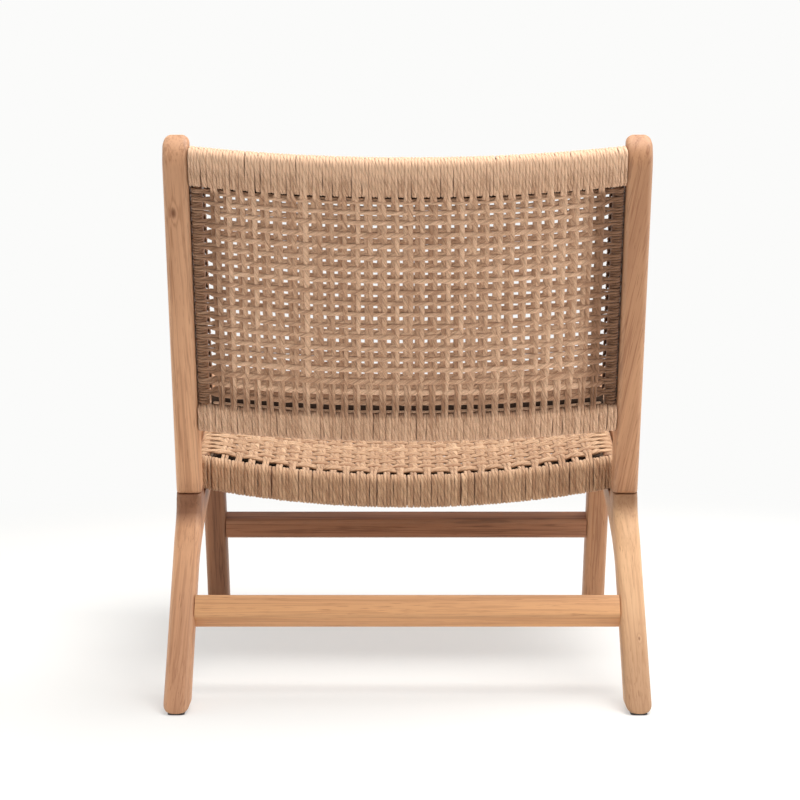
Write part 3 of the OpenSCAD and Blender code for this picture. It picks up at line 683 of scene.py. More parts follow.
# Grain of the timber, from each piece's own lengthwise coordinates
def woodGrainGroup():
    group, inn, out, node, link, math2 = newGroup(
        "woodGrain",
        [("Place", "NodeSocketVector", None), ("Light", "NodeSocketColor", (0.6, 0.4, 0.25, 1)),
         ("Dark", "NodeSocketColor", (0.35, 0.18, 0.09, 1)), ("Rim", "NodeSocketFloat", 0.0),
         ("PaintedShade", "NodeSocketFloat", 0.0), ("Streak", "NodeSocketFloat", 0.5),
         ("Knot", "NodeSocketVector", (9, 9, 9)), ("KnotSize", "NodeSocketFloat", 0.005)],
        [("Colour", "NodeSocketColor"), ("Roughness", "NodeSocketFloat"), ("Height", "NodeSocketFloat")])
    place = inn.outputs["Place"]

    def stretched(across, alongScale, detail, roughness, distortion=0.0):
        scaled = node("ShaderNodeVectorMath", operation="MULTIPLY")
        link(place, scaled.inputs[0])
        scaled.inputs[1].default_value = (across, across, alongScale)
        return noiseFrom(node, link, scaled.outputs[0], Detail=detail, Roughness=roughness,
                         Distortion=distortion)

    # A knot: rings that squeeze the growth lines around one place
    toKnot = node("ShaderNodeVectorMath", operation="SUBTRACT")
    link(place, toKnot.inputs[0])
    link(inn.outputs["Knot"], toKnot.inputs[1])
    squashed = node("ShaderNodeVectorMath", operation="MULTIPLY")
    link(toKnot.outputs[0], squashed.inputs[0])
    squashed.inputs[1].default_value = (1, 0.4, 0.55)
    knotReach = node("ShaderNodeVectorMath", operation="LENGTH")
    link(squashed.outputs[0], knotReach.inputs[0])
    knotReach = math2("DIVIDE", knotReach.outputs["Value"], inn.outputs["KnotSize"])
    knotNear = math2("EXPONENT", math2("MULTIPLY", math2("MULTIPLY", knotReach, knotReach), -0.35))
    knotCore = math2("SUBTRACT", 1.25, knotReach, clamp=True)

    broad = stretched(30, 1.5, 3, 0.55, 0.5)      # slow change of tone across a board
    bands = stretched(85, 2.2, 4, 0.55, 0.6)      # growth lines, a few millimetres apart
    fine = stretched(620, 9.0, 3, 0.65)           # fibres
    pores = stretched(900, 38.0, 2, 0.5)
    growth = math2("MULTIPLY", math2("ADD", bands, math2("MULTIPLY", knotNear, 0.25)), 34)
    growth = math2("MULTIPLY", math2("ADD", math2("SINE", growth), 1), 0.5)
    growth = math2("POWER", growth, 3)
    tone = math2("ADD", math2("MULTIPLY", broad, 1.5), math2("MULTIPLY", growth, 0.4))
    tone = math2("ADD", tone, math2("MULTIPLY", fine, 0.45))
    tone = math2("SUBTRACT", tone, 0.72)
    tone = math2("MULTIPLY", tone, math2("ADD", inn.outputs["Streak"], 0.6), clamp=True)
    colour = mixColour(node, link, tone, inn.outputs["Light"], inn.outputs["Dark"])
    poreMask = math2("MULTIPLY", math2("SUBTRACT", pores, 0.61), 9, clamp=True)
    # Pores and knots darken the wood; the last mask is painted shade
    for mask, stainAndShade in ((math2("MULTIPLY", poreMask, 0.5), (0.42, 0.28, 0.2, 1)),
                        (math2("MULTIPLY", knotCore, 0.85), (0.32, 0.2, 0.15, 1)),
                        (inn.outputs["PaintedShade"], (0.36, 0.30, 0.28, 1))):
        colour = mixColour(node, link, mask, colour, stainAndShade, "MULTIPLY")
    # Handled edges are a little paler and smoother
    wear = math2("MULTIPLY", inn.outputs["Rim"], math2("MULTIPLY", broad, 0.55))
    colour = mixColour(node, link, math2("MULTIPLY", wear, 0.35), colour, (0.5, 0.4, 0.3, 1), "SCREEN")
    link(colour, out.inputs["Colour"])
    rough = math2("ADD", 0.40, math2("MULTIPLY", fine, 0.22))
    rough = math2("SUBTRACT", rough, math2("MULTIPLY", wear, 0.15))
    link(rough, out.inputs["Roughness"])
    height = math2("SUBTRACT", math2("MULTIPLY", fine, 0.5), math2("MULTIPLY", poreMask, 0.8))
    height = math2("ADD", height, math2("MULTIPLY", growth, 0.12))
    link(height, out.inputs["Height"])
    return group


# Twisted cord: two plies of flat fibres, each with its own tone
def cordFibreGroup():
    group, inn, out, node, link, math2 = newGroup(
        "cordFibres",
        [("Pale", "NodeSocketColor", (0.7, 0.5, 0.33, 1)), ("Tan", "NodeSocketColor", (0.5, 0.32, 0.2, 1)),
         ("Brown", "NodeSocketColor", (0.25, 0.13, 0.07, 1))],
        [("Colour", "NodeSocketColor"), ("Roughness", "NodeSocketFloat"), ("Height", "NodeSocketFloat")])
    weave = node("ShaderNodeAttribute", attribute_name="cordWeave")
    tone = node("ShaderNodeAttribute", attribute_name="cordTone")
    paintedShade = node("ShaderNodeAttribute", attribute_name="cordPaintedShade").outputs["Fac"]
    parts = node("ShaderNodeSeparateXYZ")
    link(weave.outputs["Vector"], parts.inputs[0])
    shift = math2("MULTIPLY", tone.outputs["Fac"], 37.0)

    def fibres(around, alongScale, detail, roughness):
        joined = node("ShaderNodeCombineXYZ")
        link(math2("MULTIPLY", parts.outputs["X"], around), joined.inputs[0])
        link(math2("MULTIPLY", parts.outputs["Y"], around), joined.inputs[1])
        link(math2("ADD", math2("MULTIPLY", parts.outputs["Z"], alongScale), shift), joined.inputs[2])
        return noiseFrom(node, link, joined.outputs[0], Detail=detail, Roughness=roughness)

    strand = fibres(2.6, 42.0, 4, 0.65)
    hair = fibres(6.5, 110.0, 3, 0.65)
    patch = fibres(0.4, 16.0, 2, 0.5)
    # Painted shade in the grooves between the two plies, which also sink in the bump
    groove = math2("ABSOLUTE", parts.outputs["Y"])
    groove = math2("SUBTRACT", 1.0, math2("MULTIPLY", groove, 2.4), clamp=True)
    level = math2("ADD", math2("MULTIPLY", strand, 2.4), math2("MULTIPLY", hair, 1.5))
    level = math2("ADD", level, math2("MULTIPLY", math2("SUBTRACT", tone.outputs["Fac"], 0.5), 0.5))
    level = math2("ADD", level, math2("MULTIPLY", math2("SUBTRACT", patch, 0.5), 0.9))
    # The cord's painted shade makes it darker, or paler below zero
    level = math2("ADD", level, math2("MULTIPLY", paintedShade, 0.6))
    level = math2("SUBTRACT", level, 1.48, clamp=True)
    colour = mixColour(node, link, level, inn.outputs["Pale"], inn.outputs["Tan"])
    # The darkest tone: painted shade in the ply grooves and from the attribute, and the dark hairs
    dark = math2("ADD", math2("MULTIPLY", groove, 0.3),
                 math2("MULTIPLY", math2("SUBTRACT", hair, 0.54, clamp=True), 2.8))
    dark = math2("ADD", dark, math2("MULTIPLY", math2("MAXIMUM", paintedShade, 0), 0.36), clamp=True)
    link(mixColour(node, link, dark, colour, inn.outputs["Brown"]), out.inputs["Colour"])
    link(math2("ADD", 0.72, math2("MULTIPLY", hair, 0.2)), out.inputs["Roughness"])
    height = math2("SUBTRACT", math2("ADD", math2("MULTIPLY", strand, 0.8), math2("MULTIPLY", hair, 0.5)),
                   math2("MULTIPLY", groove, 0.9))
    link(height, out.inputs["Height"])
    return group


woodGrain = woodGrainGroup()
cordFibres = cordFibreGroup()


def newMaterial(name):
    material = bpy.data.materials.new(name)
    material.use_nodes = True
    tree = material.node_tree
    tree.nodes.clear()
    node, link, math2 = nodeTools(tree)
    shader = node("ShaderNodeBsdfPrincipled")
    output = node("ShaderNodeOutputMaterial")
    link(shader.outputs[0], output.inputs[0])
    return material, shader, node, link, math2


def bumpInto(shader, node, link, height, strength, distance):
    bump = node("ShaderNodeBump")
    bump.inputs["Strength"].default_value = strength
    bump.inputs["Distance"].default_value = distance
    link(height, bump.inputs["Height"])
    link(bump.outputs[0], shader.inputs["Normal"])


def linear(red, green, blue):
    def one(value):
        value /= 255
        return value / 12.92 if value <= 0.04045 else ((value + 0.055) / 1.055) ** 2.4
    return (one(red), one(green), one(blue), 1)


# Timber that reads its grain from the piece, or from the object where a piece has none
def woodMaterial(name, light, dark, streak, ownGrain=True, knot=None):
    material, shader, node, link = newMaterial(name)[:4]
    grain = node("ShaderNodeGroup", node_tree=woodGrain)
    if ownGrain:
        place = node("ShaderNodeAttribute", attribute_name="grainPlace")
        rim = node("ShaderNodeAttribute", attribute_name="grainRim")
        link(place.outputs["Vector"], grain.inputs["Place"])
        link(rim.outputs["Fac"], grain.inputs["Rim"])
        # Painted shade from the piece's attribute
        paintedShade = node("ShaderNodeAttribute", attribute_name="grainPaintedShade")
        link(paintedShade.outputs["Fac"], grain.inputs["PaintedShade"])
    else:
        place = node("ShaderNodeTexCoord")
        link(place.outputs["Object"], grain.inputs["Place"])
    grain.inputs["Light"].default_value = light
    grain.inputs["Dark"].default_value = dark
    grain.inputs["Streak"].default_value = streak
    if knot:
        grain.inputs["Knot"].default_value = knot["place"]
        grain.inputs["KnotSize"].default_value = knot["size"]
    link(grain.outputs["Colour"], shader.inputs["Base Color"])
    link(grain.outputs["Roughness"], shader.inputs["Roughness"])
    shader.inputs["IOR"].default_value = 1.45
    shader.inputs["Specular IOR Level"].default_value = 0.35
    bumpInto(shader, node, link, grain.outputs["Height"], 0.35, 0.0006)
    return material


def cordMaterial(name, pale, tan, brown):
    material, shader, node, link = newMaterial(name)[:4]
    fibres = node("ShaderNodeGroup", node_tree=cordFibres)
    fibres.inputs["Pale"].default_value = pale
    fibres.inputs["Tan"].default_value = tan
    fibres.inputs["Brown"].default_value = brown
    link(fibres.outputs["Colour"], shader.inputs["Base Color"])
    link(fibres.outputs["Roughness"], shader.inputs["Roughness"])
    shader.inputs["Specular IOR Level"].default_value = 0.2
    shader.inputs["Sheen Weight"].default_value = 0.15
    shader.inputs["Sheen Roughness"].default_value = 0.5
    bumpInto(shader, node, link, fibres.outputs["Height"], 0.75, 0.0009)
    return material


# Plain finishes with fine specks
finishes = {
    # A near-black finish for the strips of painted shade
    "paintedShadeStrip": {"grains": 700, "ends": ((0.030, 0.015, 0.008), (0.075, 0.040, 0.023)),
                  "rough": 0.8, "roughSpan": 0.15, "bump": (0.4, 0.0005)},
    "glidePlastic": {"grains": 900, "ends": ((0.012, 0.011, 0.011), (0.03, 0.028, 0.027)),
                     "rough": 0.5, "roughSpan": 0.2, "bump": (0.2, 0.0003)},
    "nailSteel": {"grains": 400, "ends": ((0.42, 0.42, 0.43), (0.6, 0.6, 0.61)),
                  "rough": 0.3, "roughSpan": 0.2, "metal": 1.0},
}


def speckledMaterial(name, grains, ends, rough, roughSpan, bump=None, metal=0.0):
    material, shader, node, link, math2 = newMaterial(name)
    coords = node("ShaderNodeTexCoord")
    specks = noiseFrom(node, link, coords.outputs["Object"], grains)
    ramp = colourRamp(node, [(0.3, ends[0]), (0.7, ends[1])])
    link(specks, ramp.inputs[0])
    link(ramp.outputs[0], shader.inputs["Base Color"])
    shader.inputs["Metallic"].default_value = metal
    link(math2("ADD", rough, math2("MULTIPLY", specks, roughSpan)), shader.inputs["Roughness"])
    if bump:
        bumpInto(shader, node, link, specks, *bump)
    return material


backCordLook = cordMaterial("twistedCord", linear(233, 194, 162), linear(173, 132, 103), linear(96, 64, 42))
seatCordLook = cordMaterial("seatCord", linear(231, 194, 158), linear(172, 132, 101), linear(96, 63, 41))
shadeStripLook = speckledMaterial("paintedShadeStrip", **finishes["paintedShadeStrip"])
coreLook = woodMaterial("panelCoreWood", linear(150, 108, 76), linear(96, 62, 40), 0.5, ownGrain=False)
dowelLook = woodMaterial("dowelWood", linear(222, 190, 150), linear(190, 152, 110), 0.4, ownGrain=False)
glideLook = speckledMaterial("glidePlastic", **finishes["glidePlastic"])
nailLook = speckledMaterial("nailSteel", **finishes["nailSteel"])
print("materials ready")


# Timber of the side frames. Side views are lists of (y, z) in millimetres.
framePlan = {
    "halfWidth": 325.0,
    "stock": 34.5,
    "lean": 17.7,
    "backFootY": 74.5,
    "postDepth": 42.0,
    "postFoot": 278.0,
    "postTop": 794.0,
    "sweepTop": 38.0,
    "cornerTop": 10.0,
    "edge": 7.0,
    "frontCorner": 5.0,      # rounding of the post's top at the front
    "topThin": 2.5,
    "crispEdge": 0.8,        # where a leg meets the post or the rail
    "paintedShadeFrom": 0.45,       # the painted shade reaches from here towards a board's rear, as a share of its depth
    "paintedShadeOver": 0.4,
    "seatTilt": 11.7,
    "seatZ": 335.5,
    "railThick": 20.0,
    "railDeep": 57.5,
    "railNose": 345.0,
    "footReach": 362.0,
    "glide": 3.0,
    "legDeep": 37.0,
    "rearRake": 38.5,
    "frontRake": 20.8,
    "rearFlareZ": 160.0,
    "frontFlareZ": 235.0,
    "flareRise": 37.0,
    "rearHead": 172.0,
    "rearBelly": 95.0,
    "rearBellyDeep": 35.0,
    "frontHead": 66.0,
    "headLip": 10.0,
    "coveFoot": 212.0,
    "coveRise": 27.0,
    "toe": 9.0,
    "rearBar": 36.0,
    "rearBarZ": 117.5,
    "frontBar": 34.5,
    "frontBarZ": 147.0,
}
plan = framePlan
innerWidth = plan["halfWidth"] - plan["stock"]
lean = math.radians(plan["lean"])
tilt = math.radians(plan["seatTilt"])


def onSlope(up, out):
    return np.array([plan["backFootY"] + up * math.sin(lean) + out * math.cos(lean),
                     up * math.cos(lean) - out * math.sin(lean)])


def underSeat(y, depth):
    return np.array([y, plan["seatZ"] - y * math.tan(tilt) - depth / math.cos(tilt)])


def bezier(a, b, c, count):
    t = np.linspace(0, 1, count)[:, None]
    return (1 - t) ** 2 * a + 2 * t * (1 - t) * b + t ** 2 * c


def cubic(a, b, c, d, count):
    t = np.linspace(0, 1, count)[:, None]
    return (1 - t) ** 3 * a + 3 * t * (1 - t) ** 2 * b + 3 * t ** 2 * (1 - t) * c + t ** 3 * d


def alongLine(points, shares):
    points = np.array(points, float)
    lengths = np.linalg.norm(np.diff(points, axis=0), axis=1)
    along = np.concatenate([[0], np.cumsum(lengths)])
    places = np.array(shares) * along[-1]
    return np.stack([np.interp(places, along, points[:, k]) for k in range(2)], axis=1)


def polyline(points, count):
    return alongLine(points, np.linspace(0, 1, count))


# A section with rounded corners, as (x, share from front to rear, rim) for one station
def roundedSection(halfX, depth, edge, rearEdge=None, steps=4):
    edge = min(edge, halfX * 0.98, depth / 2 * 0.98)
    rearEdge = edge if rearEdge is None else min(edge, rearEdge)
    points = []
    for sideX, rear, start in ((1, 1, 0), (-1, 1, 90), (-1, 0, 180), (1, 0, 270)):
        r = rearEdge if rear else edge
        cx, cd = sideX * (halfX - r), depth - r if rear else r
        for k in range(steps + 1):
            turn = math.radians(start + 90 * k / steps)
            rim = math.sin(math.pi * k / steps)
            points.append((cx + r * math.cos(turn), cd + r * math.sin(turn), rim))
    return points


# Lofts a bar through stations: each has a front point, a rear point, half a thickness
# and the rounding of its rear edges
def loftBar(name, stations, centreX, edge, grain, material, node, paintedShadeByHeight):
    grainShift, slant = grain
    points, places, rims, paintedShades = [], [], [], []
    along = 0
    before = None
    for front, rear, halfX, rearEdge in stations:
        middle = (front + rear) / 2
        if before is not None:
            along += np.linalg.norm(middle - before)
        before = middle
        depth = np.linalg.norm(rear - front)
        way = (rear - front) / depth
        for dx, dd, rim in roundedSection(halfX, depth, edge, rearEdge):
            spot = front + way * dd
            points.append(((centreX + dx) * mm, spot[0] * mm, spot[1] * mm))
            places.append(((dx + slant * along + grainShift[0]) * mm, (dd - depth / 2 + grainShift[1]) * mm,
                           (along + grainShift[2]) * mm))
            rims.append(rim)
            # Painted shade by height, on the rear part of the board
            behind = smooth((dd / depth - plan["paintedShadeFrom"]) / plan["paintedShadeOver"])
            paintedShades.append(behind * np.interp(spot[1], *zip(*paintedShadeByHeight)))
    faces = barFaces(len(stations), len(points) // len(stations))
    return meshPiece(name, points, faces, (places, rims, paintedShades), material, node)


# Faces of a bar between its stations, with both ends closed
def barFaces(count, ring):
    faces = []
    for s in range(count - 1):
        for k in range(ring):
            a, b = s * ring + k, s * ring + (k + 1) % ring
            faces.append((a, b, b + ring, a + ring))
    last = (count - 1) * ring
    return faces + [tuple(range(ring))[::-1], tuple(range(last, last + ring))]


def meshPiece(name, points, faces, grain, material, node):
    places, rims, paintedShades = grain
    mesh = bpy.data.meshes.new(name)
    mesh.from_pydata(points, [], faces)
    mesh.update(calc_edges=True)
    mesh.attributes.new("grainPlace", "FLOAT_VECTOR", "POINT").data.foreach_set(
        "vector", np.array(places, np.float32).ravel())
    mesh.attributes.new("grainRim", "FLOAT", "POINT").data.foreach_set(
        "value", np.array(rims, np.float32))
    mesh.attributes.new("grainPaintedShade", "FLOAT", "POINT").data.foreach_set(
        "value", np.array(paintedShades, np.float32))
    mesh.materials.append(material)
    facing = sum(f.normal.dot(f.center - Vector(np.mean(points, axis=0))) * f.area for f in mesh.polygons)
    if facing < 0:
        mesh.flip_normals()
    mesh.shade_smooth()
    mesh.set_sharp_from_angle(angle=math.radians(38))
    piece = bpy.data.objects.new(name, mesh)
    bpy.context.scene.collection.objects.link(piece)
    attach(piece, "root")
    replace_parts(piece, node)
    return piece


def postStations():
    stations = []
    top, sweep, corner = plan["postTop"], plan["sweepTop"], plan["cornerTop"]
    half = plan["stock"] / 2
    straight = np.linspace(plan["postFoot"] + plan["edge"], top - sweep, 22)
    bottom = plan["postFoot"] + plan["edge"] * (1 - np.cos(np.linspace(0, math.pi / 2, 6)[:-1]))
    curved = top - sweep + sweep * np.sin(np.linspace(0, math.pi / 2, 18)[1:])
    for up in np.concatenate([bottom, straight, curved]):
        rear = -sweep + math.sqrt(max(sweep ** 2 - max(up - top + sweep, 0) ** 2, 0))
        rear -= plan["edge"] - math.sqrt(max(plan["edge"] ** 2
                                             - max(plan["postFoot"] + plan["edge"] - up, 0) ** 2, 0))
        small = plan["frontCorner"]
        front = -plan["postDepth"] + small - math.sqrt(max(small ** 2 - max(up - top + small, 0) ** 2, 0))
        rear = max(rear, front + plan["topThin"])
        halfX = half - corner + math.sqrt(max(corner ** 2 - max(up - top + corner, 0) ** 2, 0))
        stations.append((onSlope(up, front), onSlope(up, rear), halfX, plan["edge"]))
    return stations


def toeHalf(z):
    rise = max(plan["toe"] - (z - plan["glide"]), 0)
    return plan["stock"] / 2 - plan["toe"] + math.sqrt(max(plan["toe"] ** 2 - rise ** 2, 0))


# The top of a leg, where it meets the post or the rail, keeps crisp edges
def legStations(frontLine, rearLine, roundCount):
    stations = []
    for k, (front, rear) in enumerate(zip(frontLine, rearLine)):
        crisp = plan["edge"] if k < roundCount else plan["crispEdge"]
        stations.append((front, rear, toeHalf(min(front[1], rear[1])), crisp))
    return stations


def lowHeights(top, count):
    toeEnd = plan["glide"] + plan["toe"]
    low = plan["glide"] + plan["toe"] * (1 - np.cos(np.linspace(0, math.pi / 2, 7)))
    return np.concatenate([low, np.linspace(toeEnd, top, count)[1:]])


rearRun = math.tan(math.radians(plan["rearRake"]))
frontRun = math.tan(math.radians(plan["frontRake"]))
rearWide = plan["legDeep"] / math.cos(math.radians(plan["rearRake"]))
frontWide = plan["legDeep"] / math.cos(math.radians(plan["frontRake"]))


def rearFace(z):
    return np.array([plan["footReach"] - (z - plan["glide"]) * rearRun, z])


def frontFace(z):
    return np.array([-plan["footReach"] + (z - plan["glide"]) * frontRun, z])


heel = onSlope(plan["postFoot"], 0)
toeFront = onSlope(plan["postFoot"], -plan["postDepth"])
notchUp = ((underSeat(0, plan["railDeep"])[1] - plan["backFootY"] * math.tan(tilt)
            + plan["postDepth"] * (math.cos(lean) * math.tan(tilt) - math.sin(lean)))
           / (math.cos(lean) + math.sin(lean) * math.tan(tilt)))
notch = onSlope(notchUp, -plan["postDepth"])


def rearLegStations():
    shinTop = plan["rearFlareZ"]
    heights = lowHeights(shinTop, 18)
    frontLow = np.array([rearFace(z) - [rearWide, 0] for z in heights])
    # The rear edge keeps pace with the front edge, square to the rake
    gain = rearWide * math.sin(math.radians(plan["rearRake"])) * math.cos(math.radians(plan["rearRake"]))
    share = (heights - heights[0]) / (shinTop - heights[0])
    rearLow = np.array([rearFace(z + gain * s) for z, s in zip(heights, smooth(share * 2.2))])
    headTop = underSeat(notch[0] - plan["rearHead"], plan["railDeep"])
    headLow = headTop - [0, plan["headLip"]]
    aim = rearFace(shinTop + plan["flareRise"]) - [rearWide, 0]
    belly = underSeat(notch[0] - plan["rearBelly"], plan["railDeep"]) - [0, plan["rearBellyDeep"]]
    lower = bezier(rearFace(shinTop) - [rearWide, 0], aim, belly, 30)
    upper = bezier(belly, belly + (belly - aim) * 0.3, headLow, 16)
    flare = np.vstack([lower, upper[1:]])[1:]
    # A soft cove under the post's heel
    cove = cubic(rearFace(plan["coveFoot"]), rearFace(plan["coveFoot"] + 15),
                 heel - [0.5, plan["coveRise"]], heel, 24)
    rearUp = polyline([rearLow[-1]] + list(cove), 26)
    top1 = polyline([heel, toeFront], 7)[1:]
    top2 = polyline([toeFront, notch], 4)[1:]
    top3 = polyline([notch, headTop], 18)[1:]
    rearHigh = np.vstack([rearUp[1:], top1, top2, top3])
    # Ribs up to the notch end under it, so that none of them cross
    split = int(np.sum(flare[:, 0] > notch[0] - 4))
    calf = polyline(np.vstack([frontLow[-1:], flare[:split]]), len(rearUp) + len(top1))[1:]
    shares = np.concatenate([np.linspace(0, 0.02, len(top2) + 1)[1:],
                             np.linspace(0.02, 1, len(top3) + 1)[1:]])
    flareAt = np.vstack([calf, alongLine(flare[split - 1:], shares)])
    return legStations(np.vstack([frontLow, flareAt]), np.vstack([rearLow, rearHigh]),
                       len(rearLow) + len(rearUp) - 1)


def frontLegStations():
    def meetRail(back):
        return underSeat(frontFace(0)[0] + back, plan["railDeep"])[1] / (1 + frontRun * math.tan(tilt))

    frontTop = frontFace(meetRail(0))
    calfTop = frontFace(meetRail(frontWide)) + [frontWide, 0]
    headTop = underSeat(calfTop[0] + plan["frontHead"], plan["railDeep"])
    headLow = headTop - [0, plan["headLip"]]
    calfEnd = plan["frontFlareZ"]
    heights = lowHeights(calfEnd, 20)
    rearLow = np.array([frontFace(z) + [frontWide, 0] for z in heights])
    gain = frontWide * math.sin(math.radians(plan["frontRake"])) * math.cos(math.radians(plan["frontRake"]))
    share = (heights - heights[0]) / (calfEnd - heights[0])
    frontLow = np.array([frontFace(z + gain * s) for z, s in zip(heights, smooth(share * 2.2))])
    aim = frontFace(calfEnd + plan["flareRise"]) + [frontWide, 0]
    flare = bezier(frontFace(calfEnd) + [frontWide, 0], aim, headLow, 34)[1:]
    rise = polyline([frontLow[-1], frontTop], 10)[1:]
    top = polyline([frontTop, headTop], 18)[1:]
    frontHigh = np.vstack([rise, top])
    flareAt = polyline(np.vstack([rearLow[-1:], flare]), len(frontHigh) + 1)[1:]
    return legStations(np.vstack([frontLow, frontHigh]), np.vstack([rearLow, flareAt]),
                       len(frontLow) + len(frontHigh))


def railStations():
    half = plan["railThick"] / 2
    nose = plan["railNose"] / math.cos(tilt)
    bend = plan["railDeep"] * 0.42
    deep = plan["railDeep"]

    # Seat axes: along runs to the rear, down runs below the seat line
    def seatPoint(along, down):
        return np.array([along * math.cos(tilt) - down * math.sin(tilt),
                         plan["seatZ"] - along * math.sin(tilt) - down * math.cos(tilt)])

    stations = []
    for turn in np.linspace(0, math.pi / 2, 12):
        along = -nose + bend * (1 - math.cos(turn))
        inset = bend * (1 - math.sin(turn))
        thin = half - max(0, plan["edge"] * 0.7 - bend * (1 - math.cos(turn)) * 1.4)
        stations.append((seatPoint(along, deep - inset), seatPoint(along, inset), thin, plan["edge"]))
    endLow = notch
    # Where the top of the rail meets the leaning front of the post
    endHigh = None
    for up in np.linspace(notchUp, notchUp + deep * 1.4, 200):
        spot = onSlope(up, -plan["postDepth"])
        if spot[1] >= underSeat(spot[0], 0)[1]:
            endHigh = spot
            break
    startLow, startHigh = stations[-1][0], stations[-1][1]
    for t in np.linspace(0, 1, 30)[1:]:
        stations.append((startLow * (1 - t) + endLow * t, startHigh * (1 - t) + endHigh * t, half,
                         plan["edge"]))
    return stations


def sideMiddle(thick):
    return plan["halfWidth"] - thick / 2


# Each board has its own tone: pale and dark grain, strength of streaks. The front legs and the front
# stretcher are painted darker for the shade under the seat.
boardTonesAndShade = {
    "left_back_post": (linear(229, 178, 138), linear(172, 121, 86), 0.42),
    "right_back_post": (linear(210, 160, 120), linear(158, 109, 78), 0.42),
    "left_rear_leg": (linear(234, 180, 138), linear(184, 130, 94), 0.3),
    "right_rear_leg": (linear(229, 184, 140), linear(188, 140, 100), 0.25),
    "left_front_leg": (linear(160, 113, 83), linear(108, 71, 51), 0.5),
    "right_front_leg": (linear(194, 145, 107), linear(146, 99, 69), 0.5),
    "left_seat_side_rail": (linear(216, 166, 124), linear(160, 110, 78), 0.5),
    "right_seat_side_rail": (linear(210, 160, 120), linear(154, 104, 74), 0.5),
    "rear_stretcher": (linear(219, 165, 116), linear(172, 119, 79), 0.25),
    "front_stretcher": (linear(180, 126, 92), linear(120, 78, 54), 0.5),
}
# How far the grain runs out sideways along a board
boardSlants = {
    "left_back_post": -0.03,
    "right_back_post": 0.17,
    "left_rear_leg": 0.03,
    "right_rear_leg": -0.03,
}
# Painted shade by height in millimetres, on the rear of each board: deep in the necks under the posts,
# weaker at the posts' feet and tops and low on the legs
boardPaintedShades = {
    "left_rear_leg": [(0, 0.55), (110, 0.36), (190, 0.02), (222, 0.1), (238, 0.85), (249, 1.5),
                      (270, 1.5)],
    "right_rear_leg": [(0, 0.75), (60, 0.6), (130, 0.22), (190, 0.03), (228, 0.06), (241, 0.4),
                       (251, 0.8), (270, 0.9)],
    "left_back_post": [(264, 0.3), (271, 0.24), (275, 0), (500, 0.1), (760, 0.3)],
    "right_back_post": [(264, 0.3), (271, 0.24), (275, 0.02), (500, 0.06), (760, 0.16)],
}
boardKnots = {
    "left_back_post": {"across": (4.9, 20), "along": 420, "size": 4.4 * mm},
    "right_rear_leg": {"across": (-6, 17), "along": 96, "size": 1.6 * mm},
}


# Every board is cut from another part of the grain
def boardShift(index):
    return tuple(137 * index * share for share in (0.31, 0.77, 3.1))


def makeTimber():
    sidePieces = {
        "back_post": (postStations(), sideMiddle(plan["stock"]), plan["edge"]),
        "rear_leg": (rearLegStations(), sideMiddle(plan["stock"]), plan["edge"]),
        "front_leg": (frontLegStations(), sideMiddle(plan["stock"]), plan["edge"]),
        "seat_side_rail": (railStations(), sideMiddle(plan["railThick"]), plan["edge"] * 0.8),
    }
    index = 0
    for side, sign in (("left", 1), ("right", -1)):
        for kind, (stations, centre, edge) in sidePieces.items():
            node = side + "_" + kind
            index += 1
            light, dark, streak = boardTonesAndShade[node]
            grainShift = boardShift(index)
            knot = boardKnots.get(node)
            if knot:
                (dx, dy), dz = knot["across"], knot["along"]
                dx += boardSlants.get(node, 0) * dz
                place = tuple((a + b) * mm for a, b in zip((dx, dy, dz), grainShift))
                knot = {"place": place, "size": knot["size"]}
            material = woodMaterial("teak_" + node, light, dark, streak, knot=knot)
            loftBar(node + "_timber", stations, sign * centre, edge, (grainShift, boardSlants.get(node, 0)),
                    material, node, boardPaintedShades.get(node, [(0, 0), (1, 0)]))
    for name, bar, height, rake, face, wide in (
            ("rear_stretcher", plan["rearBar"], plan["rearBarZ"], plan["rearRake"], rearFace, -rearWide),
            ("front_stretcher", plan["frontBar"], plan["frontBarZ"], -plan["frontRake"], frontFace,
             frontWide)):
        index += 1
        light, dark, streak = boardTonesAndShade[name]
        material = woodMaterial("teak_" + name, light, dark, streak)
        middle = face(height) + [wide / 2, 0]
        makeStretcher(name, bar, middle, math.radians(rake), boardShift(index), material)


def makeStretcher(name, bar, middle, rake, grainShift, material):
    points, places, rims, paintedShades = [], [], [], []
    stations = np.linspace(-innerWidth, innerWidth, 24)
    section = roundedSection(bar / 2, bar, plan["edge"], steps=5)
    for x in stations:
        for dy, dz, rim in section:
            dz -= bar / 2
            y = middle[0] + dy * math.cos(rake) - dz * math.sin(rake)
            z = middle[1] + dy * math.sin(rake) + dz * math.cos(rake)
            points.append((x * mm, y * mm, z * mm))
            places.append(tuple((a + b) * mm for a, b in zip((dy, dz, x), grainShift)))
            rims.append(rim)
            paintedShades.append(0)
    faces = barFaces(len(stations), len(section))
    meshPiece(name + "_timber", points, faces, (places, rims, paintedShades), material, name)


makeTimber()
print("timber ready")

